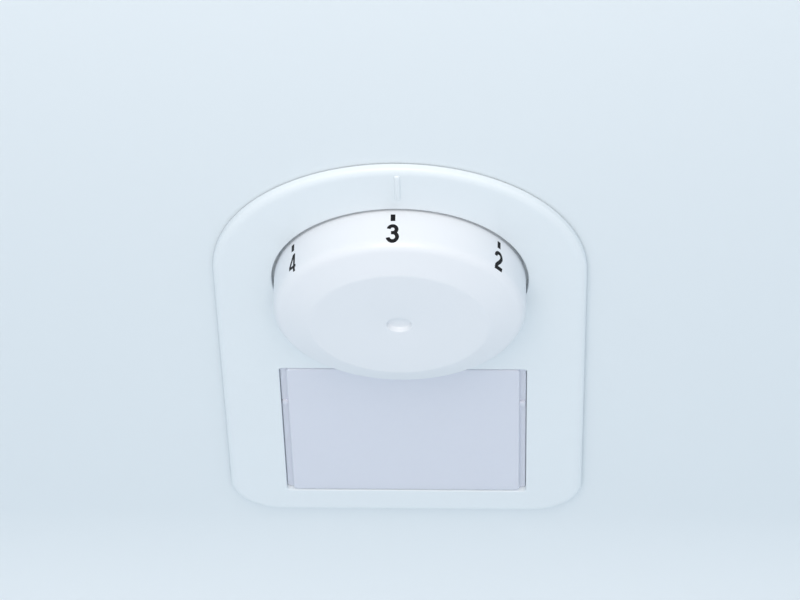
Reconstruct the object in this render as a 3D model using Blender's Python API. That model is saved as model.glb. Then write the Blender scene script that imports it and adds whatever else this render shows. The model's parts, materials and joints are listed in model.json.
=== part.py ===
"""A recessed thermostat and lamp unit: a D-shaped front plate with a numbered knob and a lamp window.

Sizes are in millimetres, and bring_to_metres scales the finished model. The wall's surface is y = 0, the unit
faces -Y, +Z is up, and the knob turns about the Y axis through the origin. A clock angle is 0 at the top and grows
clockwise as seen from the front, which is also a positive turn about +Y.
"""

import math

import bmesh
import bpy
from mathutils import Matrix, Vector

MM = 0.001
MERGE = 0.001
GAP = 0.3
TURNED_STEPS = 24

# Front plate
PLATE_HALF_WIDTH = 44.5
PLATE_BOTTOM = -109.5
PLATE_PROUD = 2.5
ARCH_CENTRE_Z = 1.9
ARCH_STEPS = 36
CORNER_RADIUS = 13.0
CORNER_STEPS = 5
RIM_ROUND = 1.1
RIM_STEPS = 4
SHADOW_GAP = 0.4
SHADOW_WIDTH = 1.2
LIP_DEPTH = 4.0
LIP_WALL = 1.5
COLLAR_DEPTH = 3.7
COLLAR_WALL = 1.6
INDEX_RIB = (0.7, 34.7, 44.6, 0.45)

# Knob and what turns with it
KNOB_RADIUS = 30.0
KNOB_HOLE_RADIUS = 30.55
KNOB_WALL = 2.4
KNOB_REAR = 3.0
KNOB_CORNER_HEIGHT = 9.8
KNOB_CORNER_ROUND = 3.0
KNOB_FACE_RADIUS = 21.4
KNOB_FACE_HEIGHT = 12.7
KNOB_FACE_ROUND = 0.8
RECESS_RADIUS = 3.0
RECESS_DEPTH = 1.2
HUB_RADIUS = 6.0
HUB_REAR = 2.0
SPINDLE_RADIUS = 3.0
SPINDLE_FLAT = 2.0
SPINDLE_FRONT = -9.2
SPINDLE_REAR = 19.0
BORE_END = -9.5

# Lamp window
WINDOW = (-30.55, -99.5, 30.55, -40.15)
WINDOW_ROUND = 1.0
LENS_PAN_HALF_WIDTH = 28.65
LENS_THICKNESS = 2.0
LENS_SKIRT_DEPTH = 3.5
LENS_WALL = 1.2
LENS_FLANGE_DROP = 1.2
LENS_CATCH_Z = -57.5

# Rear housing
HOUSING_INSET = 4.0
HOUSING_WALL = 1.8
HOUSING_DEPTH = 46.0
HOUSING_TAPER = 1.2
HOUSING_ROUND = 2.5
PARTITION = (-35.5, -34.0)
SCREW_POSTS = {"top_left": (-24.7, 26.6), "top_right": (24.7, 26.6),
               "bottom_left": (-33.6, -98.4), "bottom_right": (33.6, -98.4)}
PLATE_POST_RADIUS = 3.4
TUNNEL_RADIUS = 4.3
TUNNEL_BORE = 3.3
TUNNEL_FRONT = 6.0
TUNNEL_FLOOR = 3.0
BRACKET_SCREW_X = 33.2
CABLE_ENTRY = (-27.5, -20.0)
VENT_XS = (-14.0, -7.0, 0.0, 7.0, 14.0)
CLIP_Z = -50.0

# Thermostat
BRACKET_FRONT = 6.6
BRACKET_THICKNESS = 1.2
FRAME_HALF_WIDTH = 17.0
FRAME_HALF_HEIGHT = 26.0
FRAME_FRONT = 8.1
FRAME_REAR = 32.0
SHEET = 1.2
CAM_REST_RADIUS = 9.5
CAM_LIFT_PER_DEGREE = 1.5 / 270
TRAVEL_TO_ZERO = 159.9
TRAVEL_TO_FIVE = 110.1
CAM_STEPS = 48
NOSE_CLOCK = 270.0
LEVER_BAND = (14.2, 19.8)
RANGE_PIVOT = (-13.0, 15.5)
MAIN_PIVOT = (13.2, -21.5)
BLADE_PIVOT = (8.0, 18.2)
SPRING_Y = 17.0
SPRING_Z = -15.0
TERMINAL_XS = {"live": -9.0, "lamp": 0.0, "load": 9.0}
COIL_RADIUS = 17.0

# Lamp
LAMP_Y = 20.0
GLASS_RADIUS = 12.5
GLASS_TOP = -41.5
HOLDER_TOP = -88.5
HOLDER_BASE = -102.3
HOLDER_TAB_Z = -100.9
HOLDER_RIB = (-92.0, -90.5)

AXES = {
    "X": (Vector((1, 0, 0)), Vector((0, 0, 1))),
    "Y": (Vector((0, 1, 0)), Vector((0, 0, 1))),
    "Z": (Vector((0, 0, 1)), Vector((1, 0, 0))),
}

FINISHES = {
    "plate_plastic": ((0.74, 0.79, 0.83), 0.36, 0.0),
    "knob_plastic": ((0.80, 0.83, 0.86), 0.30, 0.0),
    "lens_plastic": ((0.58, 0.65, 0.78), 0.32, 0.0),
    "housing_plastic": ((0.62, 0.64, 0.66), 0.50, 0.0),
    "plated_steel": ((0.62, 0.62, 0.60), 0.35, 1.0),
    "spring_steel": ((0.42, 0.43, 0.45), 0.30, 1.0),
    "brass": ((0.72, 0.54, 0.25), 0.32, 1.0),
    "copper": ((0.72, 0.40, 0.26), 0.35, 1.0),
    "phenolic": ((0.03, 0.03, 0.035), 0.45, 0.0),
    "white_porcelain": ((0.82, 0.81, 0.77), 0.30, 0.0),
    "reflector_white": ((0.85, 0.86, 0.86), 0.22, 0.0),
    "lamp_glass": ((0.88, 0.89, 0.86), 0.15, 0.0),
    "black_rubber": ((0.02, 0.02, 0.02), 0.70, 0.0),
    "wire_brown": ((0.20, 0.09, 0.04), 0.45, 0.0),
    "wire_blue": ((0.05, 0.14, 0.42), 0.45, 0.0),
}


def clear_scene():
    for obj in list(bpy.data.objects):
        bpy.data.objects.remove(obj, do_unlink=True)


def finish(name):
    """The named material, made the first time it is asked for."""
    found = bpy.data.materials.get(name)
    if found:
        return found
    colour, roughness, metallic = FINISHES[name]
    made = bpy.data.materials.new(name)
    made.use_nodes = True
    shader = made.node_tree.nodes["Principled BSDF"]
    shader.inputs["Base Color"].default_value = (*colour, 1)
    shader.inputs["Roughness"].default_value = roughness
    shader.inputs["Metallic"].default_value = metallic
    return made


# Shapes


def new_object(name, bm, material=None):
    """Brings a bmesh into the scene as an object."""
    bmesh.ops.recalc_face_normals(bm, faces=bm.faces)
    mesh = bpy.data.meshes.new(name)
    bm.to_mesh(mesh)
    bm.free()
    obj = bpy.data.objects.new(name, mesh)
    bpy.context.scene.collection.objects.link(obj)
    if material:
        mesh.materials.append(finish(material))
        mesh.shade_smooth()
        mesh.set_sharp_from_angle(angle=math.radians(35))
    return obj


def clock_point(centre, radius, clock):
    angle = math.radians(clock)
    return Vector((centre[0] + radius * math.sin(angle), centre[1] + radius * math.cos(angle)))


def arc(centre, radius, first, last, steps):
    return [clock_point(centre, radius, first + (last - first) * i / steps) for i in range(steps + 1)]


def rounded_corner(before, corner, after, radius, steps=4):
    """Points of the arc that rounds a corner between the lines to its neighbours."""
    before, corner, after = Vector(before), Vector(corner), Vector(after)
    towards_before = (before - corner).normalized()
    towards_after = (after - corner).normalized()
    half_angle = towards_before.angle(towards_after) / 2
    reach = radius / math.tan(half_angle)
    centre = corner + (towards_before + towards_after).normalized() * (radius / math.sin(half_angle))
    first = (corner + towards_before * reach - centre).normalized()
    last = (corner + towards_after * reach - centre).normalized()
    return [centre + first.slerp(last, i / steps) * radius for i in range(steps + 1)]


def turned(name, profile, centre, axis, material=None, steps=TURNED_STEPS, ring=False):
    """Spins (radius, distance) points about an axis. A ring's profile is closed and stays off the axis."""
    along, outward = AXES[axis]
    centre = Vector(centre)
    bm = bmesh.new()
    verts = [bm.verts.new(centre + outward * radius + along * distance) for radius, distance in profile]
    edges = [bm.edges.new(pair) for pair in zip(verts, verts[1:])]
    if ring:
        edges.append(bm.edges.new((verts[-1], verts[0])))
    bmesh.ops.spin(bm, geom=verts + edges, cent=centre, axis=along, angle=math.tau, steps=steps,
                   use_merge=True)
    bmesh.ops.remove_doubles(bm, verts=bm.verts, dist=1e-4)
    return new_object(name, bm, material)


def cylinder(name, centre, radius, start, end, axis="Y", material=None, steps=TURNED_STEPS):
    """A round bar along an axis, from start to end on that axis. The centre gives the other two coordinates."""
    profile = [(0, start), (radius, start), (radius, end), (0, end)]
    return turned(name, profile, centre, axis, material, steps)


def on_axis(axis, u, v, along):
    return {"X": (along, u, v), "Y": (u, along, v), "Z": (u, v, along)}[axis]


def extruded(name, outline, axis, start, end, material=None):
    """A flat outline pushed from start to end along an axis."""
    bm = bmesh.new()
    face = bm.faces.new([bm.verts.new(on_axis(axis, u, v, start)) for u, v in outline])
    pushed = bmesh.ops.extrude_face_region(bm, geom=[face])
    verts = [item for item in pushed["geom"] if isinstance(item, bmesh.types.BMVert)]
    bmesh.ops.translate(bm, verts=verts, vec=on_axis(axis, 0, 0, end - start))
    return new_object(name, bm, material)


def lofted(name, rings, material=None):
    """Joins rings of equal count with walls and caps the first and last."""
    bm = bmesh.new()
    rows = [[bm.verts.new(point) for point in ring] for ring in rings]
    for row, following in zip(rows, rows[1:]):
        for i in range(len(row)):
            j = (i + 1) % len(row)
            bm.faces.new((row[i], row[j], following[j], following[i]))
    bm.faces.new(rows[0])
    bm.faces.new(rows[-1])
    return new_object(name, bm, material)


def box(name, low, high, material=None):
    outline = [(low[0], low[2]), (high[0], low[2]), (high[0], high[2]), (low[0], high[2])]
    return extruded(name, outline, "Y", low[1], high[1], material)


def round_rectangle(low_u, low_v, high_u, high_v, radius, steps=3):
    corners = [(high_u - radius, high_v - radius, 0), (high_u - radius, low_v + radius, 90),
               (low_u + radius, low_v + radius, 180), (low_u + radius, high_v - radius, 270)]
    points = []
    for u, v, clock in corners:
        points += arc((u, v), radius, clock, clock + 90, steps)
    return points


def strip(path, thickness):
    """The outline of a bent strip: the path out and back, moved to its left by the thickness."""
    path = [Vector(point) for point in path]
    moved = []
    for i, point in enumerate(path):
        before = (point - path[i - 1]).normalized() if i else None
        after = (path[i + 1] - point).normalized() if i + 1 < len(path) else None
        direction = ((before or after) + (after or before)).normalized()
        stretch = 1 / max(direction.dot(before or after), 0.5)
        moved.append(point + Vector((-direction.y, direction.x)) * thickness * stretch)
    return path + moved[::-1]


def smooth_route(stops, per_leg):
    """A Catmull-Rom curve through the stops."""
    stops = [Vector(stop) for stop in stops]
    padded = [stops[0] * 2 - stops[1], *stops, stops[-1] * 2 - stops[-2]]
    points = []
    for p0, p1, p2, p3 in zip(padded, padded[1:], padded[2:], padded[3:]):
        for i in range(per_leg):
            t = i / per_leg
            points.append(0.5 * (2 * p1 + (p2 - p0) * t + (2 * p0 - 5 * p1 + 4 * p2 - p3) * t ** 2
                                 + (3 * p1 - p0 - 3 * p2 + p3) * t ** 3))
    return points + [stops[-1]]


def piped(name, points, radius, material, sides_setting=2):
    """A round wire or tube along the points."""
    curve = bpy.data.curves.new(name, "CURVE")
    curve.dimensions = "3D"
    curve.bevel_depth = radius
    curve.bevel_resolution = sides_setting
    curve.use_fill_caps = True
    spline = curve.splines.new("POLY")
    spline.points.add(len(points) - 1)
    for target, point in zip(spline.points, points):
        target.co = (*point, 1)
    curve.materials.append(finish(material))
    obj = bpy.data.objects.new(name, curve)
    bpy.context.scene.collection.objects.link(obj)
    return obj


def merged(mesh):
    """Joins points that a Boolean leaves closer than a micron."""
    bm = bmesh.new()
    bm.from_mesh(mesh)
    bmesh.ops.remove_doubles(bm, verts=bm.verts, dist=MERGE)
    bmesh.ops.dissolve_degenerate(bm, edges=bm.edges, dist=MERGE)
    bm.to_mesh(mesh)
    bm.free()
    return mesh


def combine(target, tools, operation):
    """Adds or cuts each tool, and removes it."""
    for tool in tools:
        modifier = target.modifiers.new("combine", "BOOLEAN")
        modifier.solver = "EXACT"
        modifier.operation = operation
        modifier.object = tool
        bpy.context.view_layer.update()
        graph = bpy.context.evaluated_depsgraph_get()
        shaped = bpy.data.meshes.new_from_object(target.evaluated_get(graph))
        target.modifiers.clear()
        target.data = merged(shaped)
        bpy.data.objects.remove(tool, do_unlink=True)
    return target


def add(target, *tools):
    return combine(target, tools, "UNION")


def cut(target, *tools):
    return combine(target, tools, "DIFFERENCE")


# Front plate


def d_outline(inset, y):
    """The plate's outline moved in by the inset: an arch, straight sides and two round bottom corners."""
    half = PLATE_HALF_WIDTH - inset
    corner = CORNER_RADIUS - inset
    low = PLATE_BOTTOM + CORNER_RADIUS
    side = PLATE_HALF_WIDTH - CORNER_RADIUS
    points = arc((0, ARCH_CENTRE_Z), half, -90, 90, ARCH_STEPS)
    points += arc((side, low), corner, 90, 180, CORNER_STEPS)
    points += arc((-side, low), corner, 180, 270, CORNER_STEPS)
    return [(x, y, z) for x, z in points]


def plate_rings():
    rings = [d_outline(SHADOW_WIDTH, 0), d_outline(SHADOW_WIDTH, -SHADOW_GAP), d_outline(0, -SHADOW_GAP)]
    for i in range(RIM_STEPS + 1):
        turn = math.pi / 2 * i / RIM_STEPS
        inset = RIM_ROUND * (1 - math.cos(turn))
        rings.append(d_outline(inset, RIM_ROUND * (1 - math.sin(turn)) - PLATE_PROUD))
    return rings


def window_outline(grow):
    low_x, low_z, high_x, high_z = WINDOW
    return round_rectangle(low_x - grow, low_z - grow, high_x + grow, high_z + grow, WINDOW_ROUND + grow)


def make_front_plate():
    plate = lofted("front_plate", plate_rings(), "plate_plastic")
    collar = cylinder("collar", (0, 0, 0), KNOB_HOLE_RADIUS + COLLAR_WALL, -1, COLLAR_DEPTH, steps=64)
    lip = extruded("lip", window_outline(LIP_WALL), "Y", -1, LIP_DEPTH)
    posts = [cylinder("post", (x, 0, z), PLATE_POST_RADIUS, -1, TUNNEL_FRONT - GAP, steps=20)
             for x, z in SCREW_POSTS.values()]
    half, low, high, height = INDEX_RIB
    rib = extruded("rib", round_rectangle(-half, low, half, high, half * 0.9), "Y", -1, -PLATE_PROUD - height)
    add(plate, collar, lip, *posts, rib)
    knob_hole = cylinder("knob_hole", (0, 0, 0), KNOB_HOLE_RADIUS, -6, 8, steps=64)
    window = extruded("window", window_outline(0), "Y", -6, 8)
    holes = [cylinder("hole", (x, 0, z), 1.8, GAP, 8, steps=16) for x, z in SCREW_POSTS.values()]
    return cut(plate, knob_hole, window, *holes)


# Dial


def knob_profile():
    """From the hub's rear end round the hollow and the outside to the middle of the front."""
    corner_y = -PLATE_PROUD - KNOB_CORNER_HEIGHT
    face_y = -PLATE_PROUD - KNOB_FACE_HEIGHT
    inside = face_y + KNOB_WALL
    corner = (KNOB_RADIUS, corner_y)
    face_edge = (KNOB_FACE_RADIUS, face_y)
    profile = [(0, HUB_REAR), (HUB_RADIUS, HUB_REAR), (HUB_RADIUS, inside), (KNOB_FACE_RADIUS, inside)]
    profile += [(KNOB_RADIUS - KNOB_WALL, corner_y + KNOB_WALL), (KNOB_RADIUS - KNOB_WALL, KNOB_REAR)]
    profile += [(KNOB_RADIUS, KNOB_REAR)]
    profile += rounded_corner(profile[-1], corner, face_edge, KNOB_CORNER_ROUND, 6)
    profile += rounded_corner(corner, face_edge, (0, face_y), KNOB_FACE_ROUND, 2)
    profile += [(RECESS_RADIUS, face_y), (RECESS_RADIUS - 0.3, face_y + RECESS_DEPTH)]
    return profile + [(0, face_y + RECESS_DEPTH)]


def flatted_circle(radius, flat):
    """A circle with its top cut off flat at a height above the centre."""
    clock = math.degrees(math.acos(flat / radius))
    return arc((0, 0), radius, clock, 360 - clock, 22)


def make_dial():
    knob = turned("control_knob", knob_profile(), (0, 0, 0), "Y", "knob_plastic", steps=64)
    bore = flatted_circle(SPINDLE_RADIUS + GAP, SPINDLE_FLAT + GAP)
    cut(knob, extruded("bore", bore, "Y", BORE_END, HUB_REAR + 1))
    band = arc((0, 0), HUB_RADIUS + 0.9, 30, 330, 24) + arc((0, 0), HUB_RADIUS + GAP, 330, 30, 24)
    ring = extruded("hub_clamp_ring", band, "Y", -4.5, -0.5, "spring_steel")
    spindle = cylinder("spindle", (0, 0, 0), SPINDLE_RADIUS, HUB_REAR + 2, SPINDLE_REAR, material="brass")
    stem = flatted_circle(SPINDLE_RADIUS, SPINDLE_FLAT)
    add(spindle, extruded("stem", stem, "Y", SPINDLE_FRONT, HUB_REAR + 3))
    cam = extruded("range_cam", cam_outline(), "Y", 13.6, 17.2, "white_porcelain")
    cut(cam, cylinder("cam_bore", (0, 0, 0), SPINDLE_RADIUS + GAP, 12, 19, steps=24))
    return [knob, ring, spindle, cam]


def cam_outline():
    """The cam's edge. Turning the knob towards 5 brings a larger radius to the range lever's nose."""
    points = []
    working = TRAVEL_TO_ZERO + TRAVEL_TO_FIVE
    lift = CAM_LIFT_PER_DEGREE * working
    for step in range(CAM_STEPS):
        passed = 360 * step / CAM_STEPS
        turn = passed - TRAVEL_TO_ZERO
        radius = CAM_REST_RADIUS + CAM_LIFT_PER_DEGREE * turn
        if passed > working:
            back = (passed - working) / (360 - working)
            radius = CAM_REST_RADIUS + CAM_LIFT_PER_DEGREE * TRAVEL_TO_FIVE - lift * back * back * (3 - 2 * back)
        points.append(clock_point((0, 0), radius, NOSE_CLOCK - turn))
    return points


# Lens


def make_lens():
    low_x, low_z, high_x, high_z = WINDOW
    low_x, low_z, high_x, high_z = low_x + GAP, low_z + GAP, high_x - GAP, high_z - GAP
    front = -PLATE_PROUD
    flange = front + LENS_FLANGE_DROP
    whole = round_rectangle(low_x, low_z, high_x, high_z, WINDOW_ROUND)
    lens = extruded("lamp_lens", whole, "Y", flange, LENS_SKIRT_DEPTH, "lens_plastic")
    pan = (-LENS_PAN_HALF_WIDTH, low_z, LENS_PAN_HALF_WIDTH, high_z)
    add(lens, extruded("pan", round_rectangle(*pan, WINDOW_ROUND), "Y", front, 1))
    catches = []
    for side in (-1, 1):
        xs = sorted((side * (LENS_PAN_HALF_WIDTH - 0.5), side * (high_x - 0.1)))
        low = (xs[0], front + 0.5, LENS_CATCH_Z - 0.9)
        catches.append(box("catch", low, (xs[1], 0, LENS_CATCH_Z + 0.9)))
    add(lens, *catches)
    inner = round_rectangle(low_x + LENS_WALL, low_z + LENS_WALL, high_x - LENS_WALL, high_z - LENS_WALL, 0.8)
    return cut(lens, extruded("inside", inner, "Y", flange + LENS_THICKNESS, LENS_SKIRT_DEPTH + 2))


# Rear housing


def housing_rings(inset, front, rear, corner_round):
    """An open or closed tub's rings, drawn in towards its back."""
    rings = [d_outline(inset, front), d_outline(inset + HOUSING_TAPER, rear - corner_round)]
    for i in (1, 2, 3):
        turn = math.pi / 2 * i / 3
        inward = corner_round * (1 - math.cos(turn))
        rings.append(d_outline(inset + HOUSING_TAPER + inward, rear - corner_round * (1 - math.sin(turn))))
    return rings


def make_rear_housing():
    back = HOUSING_DEPTH
    inner_back = back - HOUSING_WALL
    housing = lofted("rear_housing", housing_rings(HOUSING_INSET, GAP, back, HOUSING_ROUND), "housing_plastic")
    inset = HOUSING_INSET + HOUSING_WALL
    cavity = housing_rings(inset, GAP, inner_back, HOUSING_ROUND - 1)
    cut(housing, lofted("cavity", [d_outline(inset, -3), *cavity]))
    side = PLATE_HALF_WIDTH - HOUSING_INSET - 1
    partition = box("partition", (-side + 0.6, 7, PARTITION[0]), (side - 0.6, back - 1, PARTITION[1]))
    notches = [box("notch", (x - 4, 33, -38), (x + 4, inner_back - 1, -30)) for x in (-25, 25)]
    cut(partition, *notches)
    rib = box("holder_rib", (-20, LAMP_Y + 2, HOLDER_RIB[0]), (20, back - 1, HOLDER_RIB[1]))
    seat = cylinder("seat", (0, LAMP_Y, 0), 11.3, HOLDER_RIB[0] - 1, HOLDER_RIB[1] + 1, "Z")
    throat = box("throat", (-11.3, 0, HOLDER_RIB[0] - 1), (11.3, LAMP_Y, HOLDER_RIB[1] + 1))
    cut(rib, seat, throat)
    tunnels = [cylinder("tunnel", (x, 0, z), TUNNEL_RADIUS, TUNNEL_FRONT, back - 0.5, steps=16)
               for x, z in SCREW_POSTS.values()]
    columns = [cylinder("column", (x, 0, 0), 3.2, FRAME_FRONT, back - 0.5, steps=16)
               for x in (-BRACKET_SCREW_X, BRACKET_SCREW_X)]
    add(housing, partition, rib, *tunnels, *columns)
    bores = [cylinder("bore", (x, 0, z), TUNNEL_BORE, TUNNEL_FRONT + TUNNEL_FLOOR, back + 2, steps=16)
             for x, z in SCREW_POSTS.values()]
    screw_holes = [cylinder("screw_hole", (x, 0, z), 1.75, TUNNEL_FRONT - 2, TUNNEL_FRONT + 5, steps=12)
                   for x, z in SCREW_POSTS.values()]
    bracket_holes = [cylinder("bracket_hole", (x, 0, 0), 1.5, FRAME_FRONT - 2, 16, steps=16)
                     for x in (-BRACKET_SCREW_X, BRACKET_SCREW_X)]
    clip_holes = [cylinder("clip_hole", (0, 25, CLIP_Z), 1.5, *reach, axis="X", steps=16)
                  for reach in ((-44, -36), (36, 44))]
    entry = cylinder("entry", (CABLE_ENTRY[0], 0, CABLE_ENTRY[1]), 6.3, 40, 50, steps=24)
    vents = [extruded("vent", round_rectangle(x - 1.5, -82, x + 1.5, -52, 1.4), "Y", 40, 50) for x in VENT_XS]
    return cut(housing, *bores, *screw_holes, *bracket_holes, *clip_holes, entry, *vents)


def make_screw(name, place, axis, head_side, head_radius, shank_radius, seat, head_height, tip):
    """A cross-recess screw. The seat is where its head bears, and the tip where its shank ends."""
    top = seat + head_side * head_height
    profile = [(0, tip), (shank_radius * 0.7, tip), (shank_radius, tip + head_side * 0.8), (shank_radius, seat)]
    profile += [(head_radius, seat), (head_radius, seat + head_side * head_height * 0.55)]
    profile += [(head_radius * 0.75, top - head_side * 0.15), (head_radius * 0.4, top), (0, top)]
    screw = turned(name, profile, place, axis, "plated_steel", steps=12)
    deep = top - head_side * head_height * 0.55
    arm = head_radius * 0.5
    width = head_radius * 0.12
    start, end = sorted((deep, top + head_side))
    cross = [extruded("slot", [(u0, v0), (u1, v0), (u1, v1), (u0, v1)], axis, start, end)
             for u0, v0, u1, v1 in recess_arms(place, axis, arm, width)]
    return cut(screw, *cross)


def recess_arms(place, axis, arm, width):
    u, v = {"X": (place[1], place[2]), "Y": (place[0], place[2]), "Z": (place[0], place[1])}[axis]
    return [(u - arm, v - width, u + arm, v + width), (u - width, v - arm, u + width, v + arm)]


def make_housing_screws():
    seat = TUNNEL_FRONT + TUNNEL_FLOOR + GAP
    for name, (x, z) in SCREW_POSTS.items():
        make_screw(f"housing_screw_{name}", (x, 0, z), "Y", 1, 2.9, 1.4, seat, 2.0, 1.0)


def make_clips():
    wall = PLATE_HALF_WIDTH - HOUSING_INSET + 0.4
    for name, side in (("left", -1), ("right", 1)):
        path = [(side * wall, 30), (side * wall, 16), (side * (wall + 2.5), 7.5), (side * (wall + 0.6), 2.4)]
        outline = strip(path, 0.6 * side)
        clip = extruded(f"retaining_clip_{name}", outline, "Z", CLIP_Z - 6, CLIP_Z + 6, "spring_steel")
        cut(clip, cylinder("hole", (0, 25, CLIP_Z), 1.5, *sorted((side * 38, side * 44)), axis="X", steps=16))
        make_screw(f"clip_screw_{name}", (0, 25, CLIP_Z), "X", side, 2.6, 1.15, side * (wall + 0.95),
                   1.4, side * 37.6)


def make_grommet():
    wall_front = HOUSING_DEPTH - HOUSING_WALL
    profile = [(3.5, 41.4), (7.6, 41.4), (8.0, 41.9), (8.0, wall_front - GAP), (6.0, wall_front - GAP)]
    profile += [(6.0, HOUSING_DEPTH + GAP), (8.0, HOUSING_DEPTH + GAP), (8.0, 47.6), (7.2, 48.4)]
    profile += [(4.4, 48.4), (3.5, 47.8)]
    place = (CABLE_ENTRY[0], 0, CABLE_ENTRY[1])
    return turned("cable_grommet", profile, place, "Y", "black_rubber", steps=24, ring=True)


# Thermostat


def make_support():
    rear = BRACKET_FRONT + BRACKET_THICKNESS
    outline = round_rectangle(-37, -8, 37, 8, 4)
    bracket = extruded("support_bracket", outline, "Y", BRACKET_FRONT, rear, "plated_steel")
    holes = [cylinder("hole", (x, 0, 0), radius, 4, 10, steps=20)
             for x, radius in ((0, 5.3), (-BRACKET_SCREW_X, 1.75), (BRACKET_SCREW_X, 1.75))]
    cut(bracket, *holes)
    for name, x in (("left", -BRACKET_SCREW_X), ("right", BRACKET_SCREW_X)):
        make_screw(f"bracket_screw_{name}", (x, 0, 0), "Y", -1, 2.8, 1.15, BRACKET_FRONT - GAP, 1.7, 14)
    bush_profile = [(SPINDLE_RADIUS + GAP, 2.6), (4.6, 2.6), (5.0, 3.0), (5.0, 9.6), (7.0, 9.6), (7.0, 12.4)]
    bush_profile += [(SPINDLE_RADIUS + GAP, 12.4)]
    turned("spindle_bush", bush_profile, (0, 0, 0), "Y", "brass", steps=28, ring=True)
    hexagon = arc((0, 0), 8.1, 0, 300, 5)
    nut = extruded("bush_nut", hexagon, "Y", BRACKET_FRONT - GAP - 3, BRACKET_FRONT - GAP, "plated_steel")
    cut(nut, cylinder("thread", (0, 0, 0), 5.3, 0, 9, steps=24))


def make_thermostat_frame():
    half, inner = FRAME_HALF_WIDTH, FRAME_HALF_WIDTH - SHEET
    web = FRAME_FRONT + SHEET
    channel = [(-half, FRAME_REAR), (-half, FRAME_FRONT), (half, FRAME_FRONT), (half, FRAME_REAR)]
    channel += [(inner, FRAME_REAR), (inner, web), (-inner, web), (-inner, FRAME_REAR)]
    frame = extruded("thermostat_frame", channel, "Z", -FRAME_HALF_HEIGHT, FRAME_HALF_HEIGHT, "plated_steel")
    bush_hole = cylinder("bush_hole", (0, 0, 0), 5.3, 6, 11, steps=24)
    studs = [cylinder("stud_hole", (x, 0, z), 1.4, 6, 11, steps=16) for x, z in (RANGE_PIVOT, MAIN_PIVOT)]
    pin_hole = cylinder("pin_hole", (0, SPRING_Y, -12), 1.5, 14, 19, axis="X", steps=16)
    windows = [extruded("side_window", round_rectangle(12, low, 27, high, 2), "X", *reach)
               for reach in ((-19, -14), (14, 19)) for low, high in ((-2, 14),)]
    cut(frame, bush_hole, *studs, pin_hole, *windows)
    for name, (x, z) in (("range", RANGE_PIVOT), ("main", MAIN_PIVOT)):
        profile = [(0, FRAME_FRONT + 0.1), (1.0, FRAME_FRONT + 0.1), (1.0, 21.0), (0, 21.0)]
        turned(f"{name}_lever_stud", profile, (x, 0, z), "Y", "plated_steel", steps=16)


def lever(name, pivot, strap, material, extra=()):
    """A strap on edge with an eye round its stud. Extra outlines are added to it, such as a nose."""
    body = extruded(name, strap, "Y", *LEVER_BAND, material)
    eye = cylinder("eye", (pivot[0], 0, pivot[1]), 2.2, *LEVER_BAND, steps=20)
    tools = [extruded("extra", outline, "Y", *LEVER_BAND) for outline in extra]
    add(body, eye, *tools)
    return cut(body, cylinder("bore", (pivot[0], 0, pivot[1]), 1.35, 10, 24, steps=16))


def rectangle(low_u, low_v, high_u, high_v):
    return [(low_u, low_v), (high_u, low_v), (high_u, high_v), (low_u, high_v)]


def make_levers():
    nose_x = -(CAM_REST_RADIUS + 0.35)
    nose = [(-12.9, -2.6), (nose_x, -0.8), (nose_x, 0.8), (-12.9, 2.6)]
    range_strap = rectangle(-13.8, -18, -12.2, RANGE_PIVOT[1] - 1)
    range_lever = lever("range_lever", RANGE_PIVOT, range_strap, "plated_steel", [nose])
    finger = [(12.9, 12.2), (12.9, 14.4), (8.9, 13.8), (8.6, 13.2), (8.9, 12.6)]
    main_strap = rectangle(12.4, MAIN_PIVOT[1] + 1, 14.0, 16.5)
    main_lever = lever("main_lever", MAIN_PIVOT, main_strap, "plated_steel", [finger])
    coils, per_coil = 7, 10
    start, end, radius = -9.7, 11.6, 2.6
    points = []
    for i in range(coils * per_coil + 1):
        angle = math.tau * i / per_coil
        x = start + (end - start) * i / (coils * per_coil)
        points.append((x, SPRING_Y + radius * math.cos(angle), SPRING_Z + radius * math.sin(angle)))
    piped("range_spring", points, 0.45, "spring_steel", 1)
    return range_lever, main_lever


def make_switch():
    low, high = LEVER_BAND
    block = extruded("switch_block", round_rectangle(-15.4, 10, 15.4, 31, 1.5), "Z", 19, 27, "phenolic")
    fixed_slot = box("slot", (4.7, low - GAP, 18), (6.1, high + GAP, 23))
    slots = [box("slot", (x - 3.5, LAMP_Y - 0.7, 20.5), (x + 3.5, LAMP_Y + 0.7, 28)) for x in TERMINAL_XS.values()]
    cut(block, fixed_slot, *slots)
    for name, x in TERMINAL_XS.items():
        tab = round_rectangle(x - 3.15, 21, x + 3.15, 35, 1.2)
        terminal = extruded(f"terminal_{name}", tab, "Y", LAMP_Y - 0.4, LAMP_Y + 0.4, "brass")
        cut(terminal, cylinder("dimple", (x, 0, 31.5), 0.9, LAMP_Y - 2, LAMP_Y + 2, steps=12))
    fixed = box("fixed_contact", (5.0, low, 9.9), (5.8, high, 22.5), "brass")
    add(fixed, cylinder("button", (0, SPRING_Y, 11.2), 1.2, 5.4, 6.1, axis="X", steps=14))
    blade = box("contact_blade", (7.7, low, 9.4), (8.3, high, 18.6), "brass")
    return add(blade, cylinder("button", (0, SPRING_Y, 11.2), 1.2, 7.0, 8.0, axis="X", steps=14))


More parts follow.
